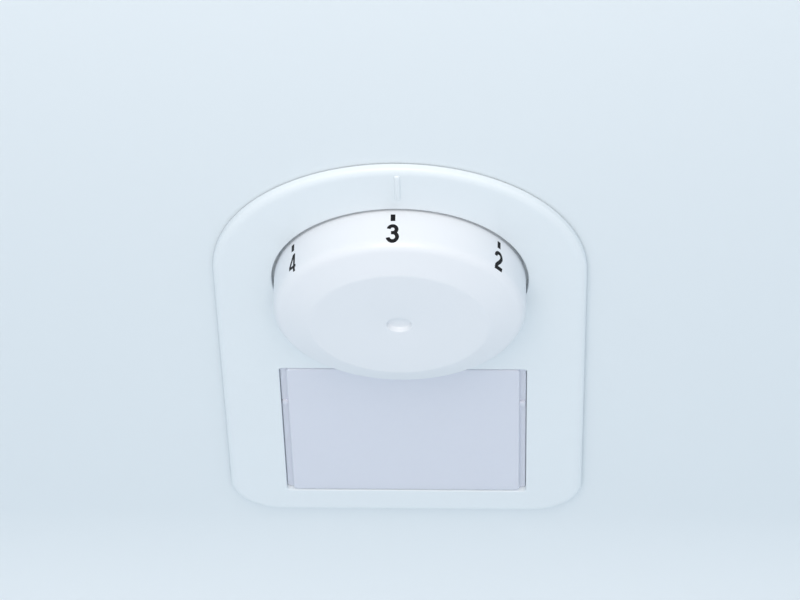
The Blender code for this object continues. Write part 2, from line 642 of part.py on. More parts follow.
def make_power_element():
    profile = [(0, 17.3), (3.5, 17.3), (3.5, 18.4), (8.5, 19.0), (8.5, 19.8), (7.9, 20.4), (8.5, 21.0)]
    profile += [(7.9, 21.6), (8.5, 22.2), (8.5, 23.2), (7.6, 24.0), (3.0, 24.4), (2.0, 26.4), (0, 26.4)]
    place = (0, SPRING_Y, -12)
    turned("bellows_capsule", profile, place, "X", "copper", steps=20)
    cylinder("bellows_pin", place, 1.1, 14.4, 17.0, "X", "plated_steel", steps=14)
    stops = [(26.8, SPRING_Y, -12), (29, 18.5, -11.5), (29.2, 23, -10.5), (26.5, 28.5, -10), (20.8, 32.9, -7.5)]
    turns, per_turn, per_leg = 2.5, 18, 4
    coil = []
    for i in range(int(turns * per_turn) + 1):
        turn = i / per_turn
        x, z = clock_point((0, 0), COIL_RADIUS, 90 - 360 * turn)
        coil.append((x, 35.0 + 2.4 * turn, z))
    lead_in = smooth_route([*stops, coil[0], coil[2]], per_leg)[:-per_leg - 1]
    piped("capillary_tube", lead_in + coil, 0.9, "copper", 1)


# Lamp


def make_lamp():
    glass = [(0, GLASS_TOP)]
    glass += [tuple(clock_point((0, GLASS_TOP - GLASS_RADIUS), GLASS_RADIUS, clock)) for clock in (15, 35, 55, 75)]
    glass += [(GLASS_RADIUS, -56), (GLASS_RADIUS, -66), (11.8, -71), (9.6, -76), (7.4, -80), (6.4, -83.5)]
    glass += [(0, -83.5)]
    place = (0, LAMP_Y, 0)
    bulb = turned("lamp_glass", glass, place, "Z", "lamp_glass", steps=20)
    cap = [(0, -83.8), (6.9, -83.8), (6.9, -85.2)]
    for i in range(5):
        top = -85.8 - 2.2 * i
        cap += [(6.6, top), (6.2, top - 1.1)]
    cap += [(6.4, -96.4), (4.4, -97.4), (2.2, -98.4), (0, -98.4)]
    return [bulb, turned("lamp_cap", cap, place, "Z", "plated_steel", steps=16)]


def make_lamp_holder():
    place = (0, LAMP_Y, 0)
    bottom, top = HOLDER_RIB
    profile = [(0, HOLDER_BASE), (10.4, HOLDER_BASE), (11.0, HOLDER_BASE + 0.6), (11.0, bottom - 2.2)]
    profile += [(13.0, bottom - 2.2), (13.0, bottom - GAP), (11.0, bottom - GAP), (11.0, top + GAP)]
    profile += [(13.0, top + GAP), (13.0, HOLDER_TOP), (7.9, HOLDER_TOP), (7.9, -99.8), (0, -99.8)]
    holder = turned("lamp_holder", profile, place, "Z", "white_porcelain")
    sleeve = [(7.05, HOLDER_TOP - 0.6), (7.55, HOLDER_TOP - 0.6), (7.55, -97.4), (7.05, -97.4)]
    turned("holder_sleeve", sleeve, place, "Z", "brass", steps=24, ring=True)
    cylinder("centre_contact", place, 2.4, -99.5, -98.8, "Z", "brass", steps=16)
    for name, x in (("live", -5.0), ("neutral", 5.0)):
        slot = (x - 2.7, LAMP_Y + 8, HOLDER_TAB_Z - 0.7), (x + 2.7, LAMP_Y + 16, HOLDER_TAB_Z + 0.7)
        cut(holder, box("slot", *slot))
        tab = round_rectangle(x - 2.4, LAMP_Y + 8.4, x + 2.4, LAMP_Y + 17, 0.8)
        extruded(f"holder_tab_{name}", tab, "Z", HOLDER_TAB_Z - 0.4, HOLDER_TAB_Z + 0.4, "brass")


def make_reflector():
    thickness = 1.0
    front, back = 4.6, 36.0
    outer = [round_rectangle(-33, -88, 33, -36.9, 3), round_rectangle(-20, -84, 20, -40, 3)]
    inner = [round_rectangle(-32, -87, 32, -37.9, 2), round_rectangle(-19, -83, 19, -41, 2)]
    reflector = lofted("lamp_reflector", [[(x, y, z) for x, z in ring] for ring, y in zip(outer, (front, back))],
                       "reflector_white")
    rear = back - thickness
    hollow = [(inner[0], front - 1), (inner[0], front), (inner[1], rear)]
    cut(reflector, lofted("hollow", [[(x, y, z) for x, z in ring] for ring, y in hollow]))
    return cut(reflector, cylinder("cap_hole", (0, LAMP_Y, 0), 8.6, -92, -80, "Z", steps=24))


def make_lamp_leads():
    """One lead from the switch and one from the mains entry side, each down its own side of the housing."""
    for name, side in (("live", -1), ("neutral", 1)):
        stops = [(9 * side, 20, 35.8), (10 * side, 22, 36.9), (12.5 * side, 28, 35.5), (16 * side, 35, 27)]
        stops += [(21.5 * side, 38.5, 14), (24.5 * side, 38.5, 0), (25 * side, 38.5, -34), (27 * side, 38.5, -55)]
        stops += [(27 * side, 38.5, -80), (24.6 * side, 39.5, -91), (17 * side, 41.2, -99), (9 * side, 41.6, HOLDER_TAB_Z)]
        stops += [(5.4 * side, 39.8, HOLDER_TAB_Z), (5 * side, 37.4, HOLDER_TAB_Z)]
        colour = "wire_brown" if side < 0 else "wire_blue"
        piped(f"lamp_lead_{name}", smooth_route(stops, 4), 0.8, colour, 1)


# Moving groups


def hang_on(name, place, pieces):
    """Parents the pieces to an empty on their joint's axis, without moving them."""
    pivot = bpy.data.objects.new(name, None)
    pivot.location = place
    bpy.context.scene.collection.objects.link(pivot)
    for piece in pieces:
        piece.data.transform(Matrix.Translation(-pivot.location))
        piece.parent = pivot


def bring_to_metres():
    for obj in bpy.data.objects:
        obj.location *= MM
        if obj.data:
            obj.data.transform(Matrix.Scale(MM, 4))


def main():
    clear_scene()
    make_front_plate()
    make_rear_housing()
    make_housing_screws()
    make_clips()
    make_grommet()
    make_support()
    make_thermostat_frame()
    make_power_element()
    make_lamp_holder()
    make_reflector()
    make_lamp_leads()
    range_lever, main_lever = make_levers()
    middle = sum(LEVER_BAND) / 2
    hang_on("dial_axis", (0, 0, 0), make_dial())
    hang_on("range_lever_axis", (RANGE_PIVOT[0], middle, RANGE_PIVOT[1]), [range_lever])
    hang_on("main_lever_axis", (MAIN_PIVOT[0], middle, MAIN_PIVOT[1]), [main_lever])
    hang_on("contact_axis", (BLADE_PIVOT[0], middle, BLADE_PIVOT[1]), [make_switch()])
    hang_on("lens_slide", (0, 0, (WINDOW[1] + WINDOW[3]) / 2), [make_lens()])
    hang_on("lamp_axis", (0, LAMP_Y, HOLDER_TOP), make_lamp())
    bring_to_metres()


main()
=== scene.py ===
"""Finished surfaces for the thermostat and lamp unit, on its packed frame.

Shapes are worked out in millimetres and scaled when a piece is finished. The wall's surface is y = 0 and the unit
faces -Y. A clock angle is 0 at the top and grows clockwise as seen from the front.
"""

import json
import math

import bmesh
import bpy
from mathutils import Matrix, Quaternion, Vector


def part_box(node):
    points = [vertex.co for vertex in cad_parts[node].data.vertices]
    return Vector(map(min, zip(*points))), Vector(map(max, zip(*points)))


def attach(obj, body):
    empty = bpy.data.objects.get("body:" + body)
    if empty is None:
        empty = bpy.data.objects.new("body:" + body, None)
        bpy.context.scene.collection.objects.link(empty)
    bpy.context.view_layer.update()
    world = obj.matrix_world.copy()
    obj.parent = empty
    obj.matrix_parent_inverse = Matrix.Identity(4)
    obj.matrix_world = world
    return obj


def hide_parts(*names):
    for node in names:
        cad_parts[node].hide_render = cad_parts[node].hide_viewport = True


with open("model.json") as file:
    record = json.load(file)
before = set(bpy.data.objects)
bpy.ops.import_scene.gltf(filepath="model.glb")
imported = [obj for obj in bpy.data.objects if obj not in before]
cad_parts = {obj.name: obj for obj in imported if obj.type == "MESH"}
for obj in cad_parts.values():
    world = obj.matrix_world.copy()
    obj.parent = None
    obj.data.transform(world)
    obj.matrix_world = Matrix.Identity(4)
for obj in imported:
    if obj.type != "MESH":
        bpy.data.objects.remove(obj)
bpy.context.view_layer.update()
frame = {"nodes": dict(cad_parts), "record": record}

bl_info = {
    "name": "Thermostat and lamp unit",
    "version": (1, 0, 0),
    "blender": (4, 5, 0),
    "location": "View3D > Sidebar > Thermostat",
    "description": "Builds the fine surfaces and finishes of a recessed thermostat and lamp unit",
    "category": "Object",
}

MM = 0.001
BODY_OF = {node: body for body, nodes in frame["record"]["behaviour"]["bodies"].items() for node in nodes}
SLOT_OF = {part["node"]: part["material_slot"] for part in frame["record"]["subparts"]}


def node_box(node):
    """A node's lowest and highest corners in millimetres."""
    return [[value / MM for value in corner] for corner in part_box(node)]


PLATE_LOW, PLATE_HIGH = node_box("front_plate")
KNOB_LOW, KNOB_HIGH = node_box("control_knob")
LENS_LOW, LENS_HIGH = node_box("lamp_lens")
INDEX_RISE = 0.45
HALF_WIDTH = PLATE_HIGH[0]
PLATE_FACE = PLATE_LOW[1] + INDEX_RISE
PLATE_BOTTOM = PLATE_LOW[2]
ARCH_CENTRE = PLATE_HIGH[2] - HALF_WIDTH
CORNER_RADIUS = 13.0
KNOB_RADIUS = KNOB_HIGH[0]
KNOB_FRONT = KNOB_LOW[1]
KNOB_REAR = KNOB_HIGH[1]
KNOB_HOLE = KNOB_RADIUS + 0.62
LENS_GAP = 0.16
WINDOW = (LENS_LOW[0] - LENS_GAP, LENS_LOW[2] - LENS_GAP, LENS_HIGH[0] + LENS_GAP, LENS_HIGH[2] + LENS_GAP)
LAMP_Y = 20.0
SKIRT_LENGTH = 9.8
SCREW_POSTS = ((-24.7, 26.6), (24.7, 26.6), (-33.6, -98.4), (33.6, -98.4))
SAME_PLACE = 0.0005
FIGURES = {"0": 159.9, "1": 105.9, "2": 51.9, "3": -2.1, "4": -56.1, "5": -110.1}


# Settings


class PlateSettings(bpy.types.PropertyGroup):
    rim_drop: bpy.props.FloatProperty(
        name="Rim drop", description="Depth of the plate's rounded rim, in mm", default=1.1, min=0.2, max=1.6)
    rim_width: bpy.props.FloatProperty(
        name="Rim width", description="Width of the plate's rounded rim, in mm", default=2.0, min=0.2, max=4.0)
    opening_round: bpy.props.FloatProperty(
        name="Opening round", description="Radius of the openings' edges, in mm", default=0.22, min=0.05, max=0.8)
    colour: bpy.props.FloatVectorProperty(
        name="Colour", description="The plate's plastic", subtype="COLOR",
        default=(0.81, 0.865, 0.89), min=0, max=1)


class KnobSettings(bpy.types.PropertyGroup):
    corner_round: bpy.props.FloatProperty(
        name="Corner round", description="Radius between skirt and bevel, in mm", default=2.1, min=0.5, max=3.0)
    figure_stroke: bpy.props.FloatProperty(
        name="Figure stroke", description="Width of a figure's strokes, in mm", default=0.92, min=0.3, max=1.2)
    figure_height: bpy.props.FloatProperty(
        name="Figure height", description="Height of a figure, in mm", default=4.85, min=3.0, max=6.0)
    colour: bpy.props.FloatVectorProperty(
        name="Colour", description="The knob's plastic", subtype="COLOR",
        default=(0.80, 0.83, 0.86), min=0, max=1)


class LensSettings(bpy.types.PropertyGroup):
    tint: bpy.props.FloatVectorProperty(
        name="Tint", description="The lens's plastic", subtype="COLOR",
        default=(0.87, 0.895, 0.98), min=0, max=1)
    frost: bpy.props.FloatProperty(
        name="Frost", description="Depth of the frosted surface", default=0.12, min=0, max=1)


class LampSettings(bpy.types.PropertyGroup):
    thread_pitch: bpy.props.FloatProperty(
        name="Thread pitch", description="Rise of the cap's thread in a turn, in mm", default=2.2, min=1.0, max=4.0)
    filament_turns: bpy.props.IntProperty(
        name="Filament turns", description="Turns of the coiled filament", default=26, min=5, max=60)


class StageSettings(bpy.types.PropertyGroup):
    lens: bpy.props.FloatProperty(
        name="Lens", description="The camera's focal length", default=226.8, min=20, max=400, unit="CAMERA")
    elevation: bpy.props.FloatProperty(
        name="Elevation", description="Height of the camera over the horizon", default=math.radians(57.5),
        subtype="ANGLE")
    azimuth: bpy.props.FloatProperty(
        name="Azimuth", description="Turn of the camera to the right", default=math.radians(2.486), subtype="ANGLE")
    roll: bpy.props.FloatProperty(
        name="Roll", description="Tilt of the camera about its own axis", default=math.radians(-1.77),
        subtype="ANGLE")
    distance: bpy.props.FloatProperty(
        name="Distance", description="From the camera to the knob", default=1.208, unit="LENGTH")
    wall_colour: bpy.props.FloatVectorProperty(
        name="Wall colour", description="The wall behind the unit", subtype="COLOR",
        default=(0.795, 0.85, 0.875), min=0, max=1)
    cove_radius: bpy.props.FloatProperty(
        name="Cove radius", description="Radius of the curve between wall and floor", default=0.07, unit="LENGTH")
    key_power: bpy.props.FloatProperty(
        name="Key light", description="Power of the light from above", default=2.1, unit="POWER")
    sky_strength: bpy.props.FloatProperty(
        name="Sky", description="Strength of the light from all sides", default=0.82)


SETTINGS = {"plate": PlateSettings, "knob": KnobSettings, "lens": LensSettings, "lamp": LampSettings,
            "stage": StageSettings}


def settings(name):
    """The settings of one of the groups above, as the scene holds them."""
    return getattr(bpy.context.scene, f"thermounit_{name}")


# Node trees


def add_node(tree, kind, inputs=None, **options):
    """Adds a node. Each input is a value, or the socket that feeds it."""
    node = tree.nodes.new(kind)
    for option, value in options.items():
        setattr(node, option, value)
    for key, value in (inputs or {}).items():
        if isinstance(value, bpy.types.NodeSocket):
            tree.links.new(value, node.inputs[key])
        else:
            node.inputs[key].default_value = value
    return node


def maths(tree, operation, *values):
    node = add_node(tree, "ShaderNodeMath", dict(enumerate(values)), operation=operation)
    return node.outputs[0]


def noise(tree, where, scale, detail, **inputs):
    """A noise pattern's value over a place or a stretched place."""
    made = {"Vector": where, "Scale": scale, "Detail": detail,
            **{key.title(): value for key, value in inputs.items()}}
    return add_node(tree, "ShaderNodeTexNoise", made).outputs[0]


def spread(tree, value, low, high, start=0.0, end=1.0):
    """Maps a value from low to high onto start to end."""
    inputs = {"Value": value, "From Min": low, "From Max": high, "To Min": start, "To Max": end}
    return add_node(tree, "ShaderNodeMapRange", inputs).outputs[0]


def object_place(tree):
    return add_node(tree, "ShaderNodeTexCoord").outputs["Object"]


def new_tree(name, kind, inputs, outputs):
    """A node group with named sockets, and its input and output nodes."""
    tree = bpy.data.node_groups.new(name, kind)
    for label, (socket, default) in inputs.items():
        made = tree.interface.new_socket(label, in_out="INPUT", socket_type=socket)
        if default is not None:
            made.default_value = default
    for label, socket in outputs.items():
        tree.interface.new_socket(label, in_out="OUTPUT", socket_type=socket)
    return tree, tree.nodes.new("NodeGroupInput").outputs, tree.nodes.new("NodeGroupOutput")


def given_out(tree, out, **values):
    """Links what a group gives, and returns the group."""
    for label, value in values.items():
        tree.links.new(value, out.inputs[label])
    return tree


# Shader groups


def grain_group():
    """Fine moulded grain, the slow unevenness of a large moulding, and a spread of gloss."""
    tree, given, out = new_tree(
        "Moulded grain", "ShaderNodeTree",
        {"Grain": ("NodeSocketFloat", 2200.0), "Waves": ("NodeSocketFloat", 35.0)},
        {"Height": "NodeSocketFloat", "Tone": "NodeSocketFloat", "Gloss": "NodeSocketFloat"})
    where = object_place(tree)
    fine = noise(tree, where, given["Grain"], 3.0)
    slow = noise(tree, where, given["Waves"], 2.0)
    smear = noise(tree, where, maths(tree, "MULTIPLY", given["Waves"], 4.3), 4.0, distortion=0.6)
    return given_out(tree, out, Height=fine, Tone=slow, Gloss=smear)


def scuff_group():
    """Sparse hairline scratches that run in two directions."""
    tree, given, out = new_tree(
        "Fine scuffs", "ShaderNodeTree",
        {"Scale": ("NodeSocketFloat", 60.0), "Amount": ("NodeSocketFloat", 0.3)}, {"Mask": "NodeSocketFloat"})
    where = object_place(tree)
    lines = []
    for turn, stretch in ((0.5, (1, 14, 9)), (2.1, (12, 1, 16))):
        laid = add_node(tree, "ShaderNodeMapping",
                        {"Vector": where, "Rotation": (0.3, turn, 0.4), "Scale": stretch})
        ridges = noise(tree, laid.outputs[0], given["Scale"], 2.0)
        off = maths(tree, "ABSOLUTE", maths(tree, "SUBTRACT", ridges, 0.5))
        lines.append(spread(tree, off, 0.0, 0.006, 1.0, 0.0))
    worn_patches = spread(tree, noise(tree, where, given["Scale"], 1.0), 0.5, 0.7)
    worn = maths(tree, "MULTIPLY", maths(tree, "MAXIMUM", *lines), worn_patches)
    return given_out(tree, out, Mask=maths(tree, "MULTIPLY", worn, given["Amount"]))


def dust_group():
    """A thin film of dust, thickest on what faces up."""
    tree, given, out = new_tree(
        "Settled dust", "ShaderNodeTree",
        {"Scale": ("NodeSocketFloat", 400.0),
         "Amount": ("NodeSocketFloat", 0.2)}, {"Mask": "NodeSocketFloat"})
    where = object_place(tree)
    facing = add_node(tree, "ShaderNodeSeparateXYZ",
                      {0: add_node(tree, "ShaderNodeNewGeometry").outputs["Normal"]})
    upward = spread(tree, facing.outputs["Z"], 0.2, 1.0, 0.15)
    lumps = spread(tree, noise(tree, where, given["Scale"], 5.0), 0.42, 0.75)
    film = maths(tree, "MULTIPLY", upward, lumps)
    return given_out(tree, out, Mask=maths(tree, "MULTIPLY", film, given["Amount"]))


def rolled_group():
    """The drawn or rolled streaks of sheet and wire, and cloudy tarnish."""
    tree, given, out = new_tree(
        "Rolled metal", "ShaderNodeTree",
        {"Scale": ("NodeSocketFloat", 500.0), "Stretch": ("NodeSocketVector", (1.0, 1.0, 0.06))},
        {"Height": "NodeSocketFloat", "Streaks": "NodeSocketFloat", "Tarnish": "NodeSocketFloat"})
    where = object_place(tree)
    laid = add_node(tree, "ShaderNodeVectorMath", {0: where, 1: given["Stretch"]}, operation="MULTIPLY")
    streak = noise(tree, laid.outputs[0], given["Scale"], 4.0)
    cloud = spread(tree, noise(tree, where, 160.0, 5.0), 0.4, 0.7)
    return given_out(tree, out, Height=streak, Streaks=streak, Tarnish=cloud)


GROUP_MAKERS = {"grain": grain_group, "scuffs": scuff_group, "dust": dust_group, "rolled": rolled_group}
GROUPS = {}


def effect(tree, name, **inputs):
    """Places a shared effect in a material. Inputs are named in lower case."""
    if name not in GROUPS:
        GROUPS[name] = GROUP_MAKERS[name]()
    node = add_node(tree, "ShaderNodeGroup", node_tree=GROUPS[name])
    for key, value in inputs.items():
        node.inputs[key.capitalize()].default_value = value
    return node.outputs


# Materials


def mixed(tree, share, low, high):
    """A colour between two, by a value that changes over the surface."""
    node = add_node(tree, "ShaderNodeMix", data_type="RGBA")
    for index, value in ((0, share), (6, low), (7, high)):
        if isinstance(value, bpy.types.NodeSocket):
            tree.links.new(value, node.inputs[index])
        else:
            node.inputs[index].default_value = value
    return node.outputs[2]


def shaded(colour, factor):
    """A colour made lighter or darker, with its alpha."""
    return tuple(min(1.0, channel * factor) for channel in colour) + (1.0,)


def toned(tree, tone, colour, darkest, lightest):
    """The colour, a little darker and lighter with the tone."""
    return mixed(tree, tone, shaded(colour, darkest), shaded(colour, lightest))


def new_material(name, **fixed):
    """A material with a Principled shader whose fixed inputs are set on its own sockets."""
    material = bpy.data.materials.new(name)
    material.use_nodes = True
    tree = material.node_tree
    shader = tree.nodes["Principled BSDF"]
    for key, value in fixed.items():
        shader.inputs[key.replace("_", " ").title().replace("Ior", "IOR")].default_value = value
    material.diffuse_color = (0.7, 0.7, 0.7, 1)
    return material, tree, shader


def surfaced(tree, shader, tone, rough, height=None, depth=0.0):
    """Links a colour, a roughness and a relief to the shader. A roughness is a value, or a (value, low, high)."""
    if isinstance(rough, tuple):
        rough = spread(tree, rough[0], 0.3, 0.7, *rough[1:])
    tree.links.new(tone, shader.inputs["Base Color"])
    tree.links.new(rough, shader.inputs["Roughness"])
    if height:
        bump = add_node(tree, "ShaderNodeBump", {"Height": height, "Strength": depth, "Distance": 0.0001})
        tree.links.new(bump.outputs[0], shader.inputs["Normal"])


def moulded_plastic(name, colour, gloss, grain=2200.0, depth=0.05, uneven=0.012, dust=0.0, scuffs=0.0,
                    **fixed):
    """Injection-moulded plastic: fine grain, slow unevenness, hairline scuffs and a little dust."""
    material, tree, shader = new_material(name, **fixed)
    moulding = effect(tree, "grain", grain=grain)
    tone = toned(tree, moulding["Tone"], colour, 1 - uneven, 1 + uneven)
    rough = spread(tree, moulding["Gloss"], 0.3, 0.7, gloss - 0.03, gloss + 0.05)
    if scuffs:
        scratched = effect(tree, "scuffs", amount=scuffs)["Mask"]
        tone = mixed(tree, scratched, tone, shaded(colour, 0.8))
        rough = maths(tree, "ADD", rough, maths(tree, "MULTIPLY", scratched, 0.3))
    if dust:
        film = effect(tree, "dust", amount=dust)["Mask"]
        tone = mixed(tree, film, tone, (0.45, 0.43, 0.40, 1))
        rough = maths(tree, "ADD", rough, maths(tree, "MULTIPLY", film, 0.5))
    surfaced(tree, shader, tone, rough, moulding["Height"], depth)
    return material


def worked_metal(name, colour, tarnish, rough, stretch=(1.0, 1.0, 0.06), scale=500.0):
    """Rolled, drawn or turned metal with streaks and a cloudy tarnish."""
    material, tree, shader = new_material(name, metallic=1.0)
    metal = effect(tree, "rolled", scale=scale, stretch=stretch)
    streaked = toned(tree, metal["Streaks"], colour, 0.82, 1.1)
    tarnished = mixed(tree, maths(tree, "MULTIPLY", metal["Tarnish"], 0.35), streaked, (*tarnish, 1))
    surfaced(tree, shader, tarnished, (metal["Streaks"], rough - 0.08, rough + 0.1), metal["Height"], 0.12)
    return material


def frosted_plastic(name, chosen):
    """The lens: clear plastic frosted until its inside hardly shows."""
    material, tree, shader = new_material(name, transmission_weight=0.2, ior=1.49, coat_weight=0.0)
    moulding = effect(tree, "grain", grain=1500.0, waves=22.0)
    tone = toned(tree, moulding["Tone"], chosen.tint, 0.985, 1.015)
    surfaced(tree, shader, tone, (moulding["Gloss"], 0.42, 0.5), moulding["Height"], chosen.frost)
    return material


def clear_glass(name, colour):
    """Thin clear glass with a faint haze."""
    material, tree, shader = new_material(name, transmission_weight=1.0, ior=1.5)
    haze = effect(tree, "grain", grain=900.0, waves=60.0)
    tone = toned(tree, haze["Tone"], colour, 0.97, 1.0)
    surfaced(tree, shader, tone, (haze["Gloss"], 0.02, 0.06), haze["Height"], 0.02)
    return material


def printed_ink(name, thick, thin):
    """Pad-printed ink, a little uneven where it is thin."""
    material, tree, shader = new_material(name, specular_ior_level=0.12)
    film = effect(tree, "grain", grain=5200.0, waves=300.0)
    tone = mixed(tree, film["Gloss"], thick, thin)
    surfaced(tree, shader, tone, (film["Gloss"], 0.38, 0.52), film["Height"], 0.15)
    return material


def see_through_back(name, colour):
    """For the stage: solid from its front, and clear from behind, so that it hides nothing."""
    material, tree, shader = new_material(name)
    moulding = effect(tree, "grain", grain=700.0, waves=9.0)
    surfaced(tree, shader, toned(tree, moulding["Tone"], colour, 0.996, 1.004),
             (moulding["Gloss"], 0.5, 0.58))
    clear = add_node(tree, "ShaderNodeBsdfTransparent")
    behind = add_node(tree, "ShaderNodeNewGeometry").outputs["Backfacing"]
    choice = add_node(tree, "ShaderNodeMixShader", {0: behind, 1: shader.outputs[0], 2: clear.outputs[0]})
    tree.links.new(choice.outputs[0], tree.nodes["Material Output"].inputs["Surface"])
    return material


FINISHES = {
    "plate_plastic": lambda name: moulded_plastic(
        name, settings("plate").colour, 0.36, depth=0.04, scuffs=0.10, dust=0.03),
    "knob_plastic": lambda name: moulded_plastic(
        name, settings("knob").colour, 0.32, 2800.0, 0.035, scuffs=0.12),
    "lens_plastic": lambda name: frosted_plastic(name, settings("lens")),
    "housing_plastic": lambda name: moulded_plastic(
        name, (0.60, 0.62, 0.64), 0.52, 1300.0, 0.35, 0.03, 0.35, 0.4),
    "plated_steel": lambda name: worked_metal(name, (0.62, 0.62, 0.60), (0.42, 0.43, 0.40), 0.34),
    "spring_steel": lambda name: worked_metal(
        name, (0.44, 0.45, 0.47), (0.24, 0.22, 0.20), 0.28, (1.0, 0.08, 1.0)),
    "brass": lambda name: worked_metal(name, (0.72, 0.54, 0.25), (0.40, 0.26, 0.12), 0.30, scale=700.0),
    "copper": lambda name: worked_metal(name, (0.76, 0.41, 0.27), (0.32, 0.17, 0.11), 0.32, (0.08, 1.0, 1.0)),
    "tungsten": lambda name: worked_metal(name, (0.30, 0.30, 0.31), (0.14, 0.13, 0.12), 0.38),
    "phenolic": lambda name: moulded_plastic(name, (0.035, 0.032, 0.034), 0.42, 900.0, 0.25, 0.25, 0.12),
    "white_porcelain": lambda name: moulded_plastic(
        name, (0.80, 0.79, 0.75), 0.22, 600.0, 0.08, 0.03, coat_weight=0.4),
    "reflector_white": lambda name: moulded_plastic(name, (0.84, 0.85, 0.85), 0.20, 1800.0, dust=0.10),
    "lamp_glass": lambda name: clear_glass(name, (0.96, 0.97, 0.96)),
    "black_rubber": lambda name: moulded_plastic(name, (0.022, 0.022, 0.022), 0.66, 1500.0, 0.3, 0.2, 0.2),
    "wire_brown": lambda name: moulded_plastic(name, (0.17, 0.075, 0.035), 0.42, 1600.0, 0.15, 0.1, 0.1),
    "wire_blue": lambda name: moulded_plastic(name, (0.045, 0.13, 0.40), 0.42, 1600.0, 0.15, 0.1, 0.1),
    "printed_ink": lambda name: printed_ink(name, (0.006, 0.006, 0.007, 1), (0.016, 0.016, 0.019, 1)),
}
MADE_FINISHES = {}


def finish_of(name):
    """The named finish, made the first time it is asked for."""
    if name not in MADE_FINISHES:
        MADE_FINISHES[name] = FINISHES[name](name)
    return MADE_FINISHES[name]


# Shapes


def clock_point(radius, clock, centre=(0.0, 0.0)):
    """The point at a clock angle, as (across, up)."""
    angle = math.radians(clock)
    return centre[0] + radius * math.sin(angle), centre[1] + radius * math.cos(angle)


def arc(centre, radius, first, last, steps):
    """Points of an arc between two clock angles."""
    return [clock_point(radius, first + (last - first) * i / steps, centre) for i in range(steps + 1)]


def round_rectangle(low_u, low_v, high_u, high_v, radius, steps=8):
    """The outline of a rectangle with round corners, clockwise from its top right corner."""
    corners = [(high_u, high_v, 0), (high_u, low_v, 90), (low_u, low_v, 180), (low_u, high_v, 270)]
    points = []
    for u, v, first in corners:
        centre = (u - math.copysign(radius, u - low_u - radius),
                  v - math.copysign(radius, v - low_v - radius))
        points += arc(centre, radius, first, first + 90, steps)
    return points


def eased(points, radius, steps=4):
    """Rounds a profile's inner corners, each by no more than its shorter side allows."""
    rounded = [points[0]]
    for before, corner, after in zip(points, points[1:], points[2:]):
        corner, back, on = Vector(corner), Vector(before) - Vector(corner), Vector(after) - Vector(corner)
        reach = min(radius, 0.45 * back.length, 0.45 * on.length)
        start, end = corner + back.normalized() * reach, corner + on.normalized() * reach
        for i in range(steps + 1):
            share = i / steps
            rounded.append(tuple(start.lerp(corner, share).lerp(corner.lerp(end, share), share)))
    return rounded + [points[-1]]


def smooth_route(stops, per_leg):
    """A smooth line through every stop."""
    stops = [Vector(stop) for stop in stops]
    padded = [stops[0] * 2 - stops[1], *stops, stops[-1] * 2 - stops[-2]]
    points = []
    for a, b, c, d in zip(padded, padded[1:], padded[2:], padded[3:]):
        for i in range(per_leg):
            t = i / per_leg
            even = 2 * a - 5 * b + 4 * c - d
            odd = 3 * b - a - 3 * c + d
            points.append((2 * b + (c - a) * t + even * t * t + odd * t ** 3) / 2)
    return points + [stops[-1]]


def lofted(bm, rings, capped=True):
    """Joins closed rings of equal length into a band, and gives their rows of vertices."""
    rows = [[bm.verts.new(point) for point in ring] for ring in rings]
    for first, second in zip(rows, rows[1:]):
        for i, vertex in enumerate(first):
            j = (i + 1) % len(first)
            bm.faces.new((vertex, first[j], second[j], second[i]))
    if capped:
        bm.faces.new(rows[0])
        bm.faces.new(rows[-1])
    return rows


def closed_over(bm, *rows):
    """Fills the flat face that lies between rows of vertices."""
    edges = []
    for row in rows:
        edges += [bm.edges.get((a, b)) or bm.edges.new((a, b)) for a, b in zip(row, row[1:] + row[:1])]
    bmesh.ops.triangle_fill(bm, edges=edges, use_beauty=True, use_dissolve=False)


def slab(bm, outline, axis, start, end, edge):
    """A flat piece with round edges. The outline is a function of how far it is moved in."""
    side = 1 if end > start else -1
    rings = []
    for turn in (90, 60, 30, 0):
        inset = edge * (1 - math.cos(math.radians(turn)))
        rings.append((inset, start + side * edge * (1 - math.sin(math.radians(turn)))))
    rings += [(inset, start + end - along) for inset, along in reversed(rings)]
    rings = [(edge * 1.6, start), *rings, (edge * 1.6, end)]
    lofted(bm, [[on_axis(axis, u, v, along) for u, v in outline(inset)] for inset, along in rings])


def on_axis(axis, u, v, along):
    """A point given by its place across an axis and along it."""
    return {"X": (along, u, v), "Y": (u, along, v), "Z": (u, v, along)}[axis]


# Finished pieces


def finished(name, bm, nodes=(), body=None, slot=None, finish=None, crease=32):
    """Makes a bmesh in millimetres a piece that rides on its body and stands for its nodes."""
    bmesh.ops.remove_doubles(bm, verts=bm.verts, dist=SAME_PLACE)
    bmesh.ops.recalc_face_normals(bm, faces=bm.faces)
    if not bm.faces:
        raise RuntimeError(f"{name} has no faces")
    slot = slot or SLOT_OF[nodes[0]]
    piece = as_object(name, bm)
    mesh = piece.data
    mesh.transform(Matrix.Scale(MM, 4))
    mesh.shade_smooth()
    mesh.set_sharp_from_angle(angle=math.radians(crease))
    mesh.materials.clear()
    mesh.materials.append(finish_of(finish or slot))
    if nodes:
        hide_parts(*nodes)
    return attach(piece, body or BODY_OF[nodes[0]])


def added(bm, mesh, place=Matrix.Identity(4)):
    """Adds a mesh to a bmesh, moved to its place."""
    mesh = mesh.copy()
    mesh.transform(place)
    bm.from_mesh(mesh)
    bpy.data.meshes.remove(mesh)


def filled(mesh):
    """A new bmesh that holds the mesh."""
    bm = bmesh.new()
    bm.from_mesh(mesh)
    return bm


def linked(name, data):
    """A new object in the scene."""
    made = bpy.data.objects.new(name, data)
    bpy.context.scene.collection.objects.link(made)
    return made


def as_object(name, bm):
    """Makes a bmesh an object, and frees the bmesh."""
    mesh = bpy.data.meshes.new(name)
    bm.to_mesh(mesh)
    bm.free()
    return linked(name, mesh)


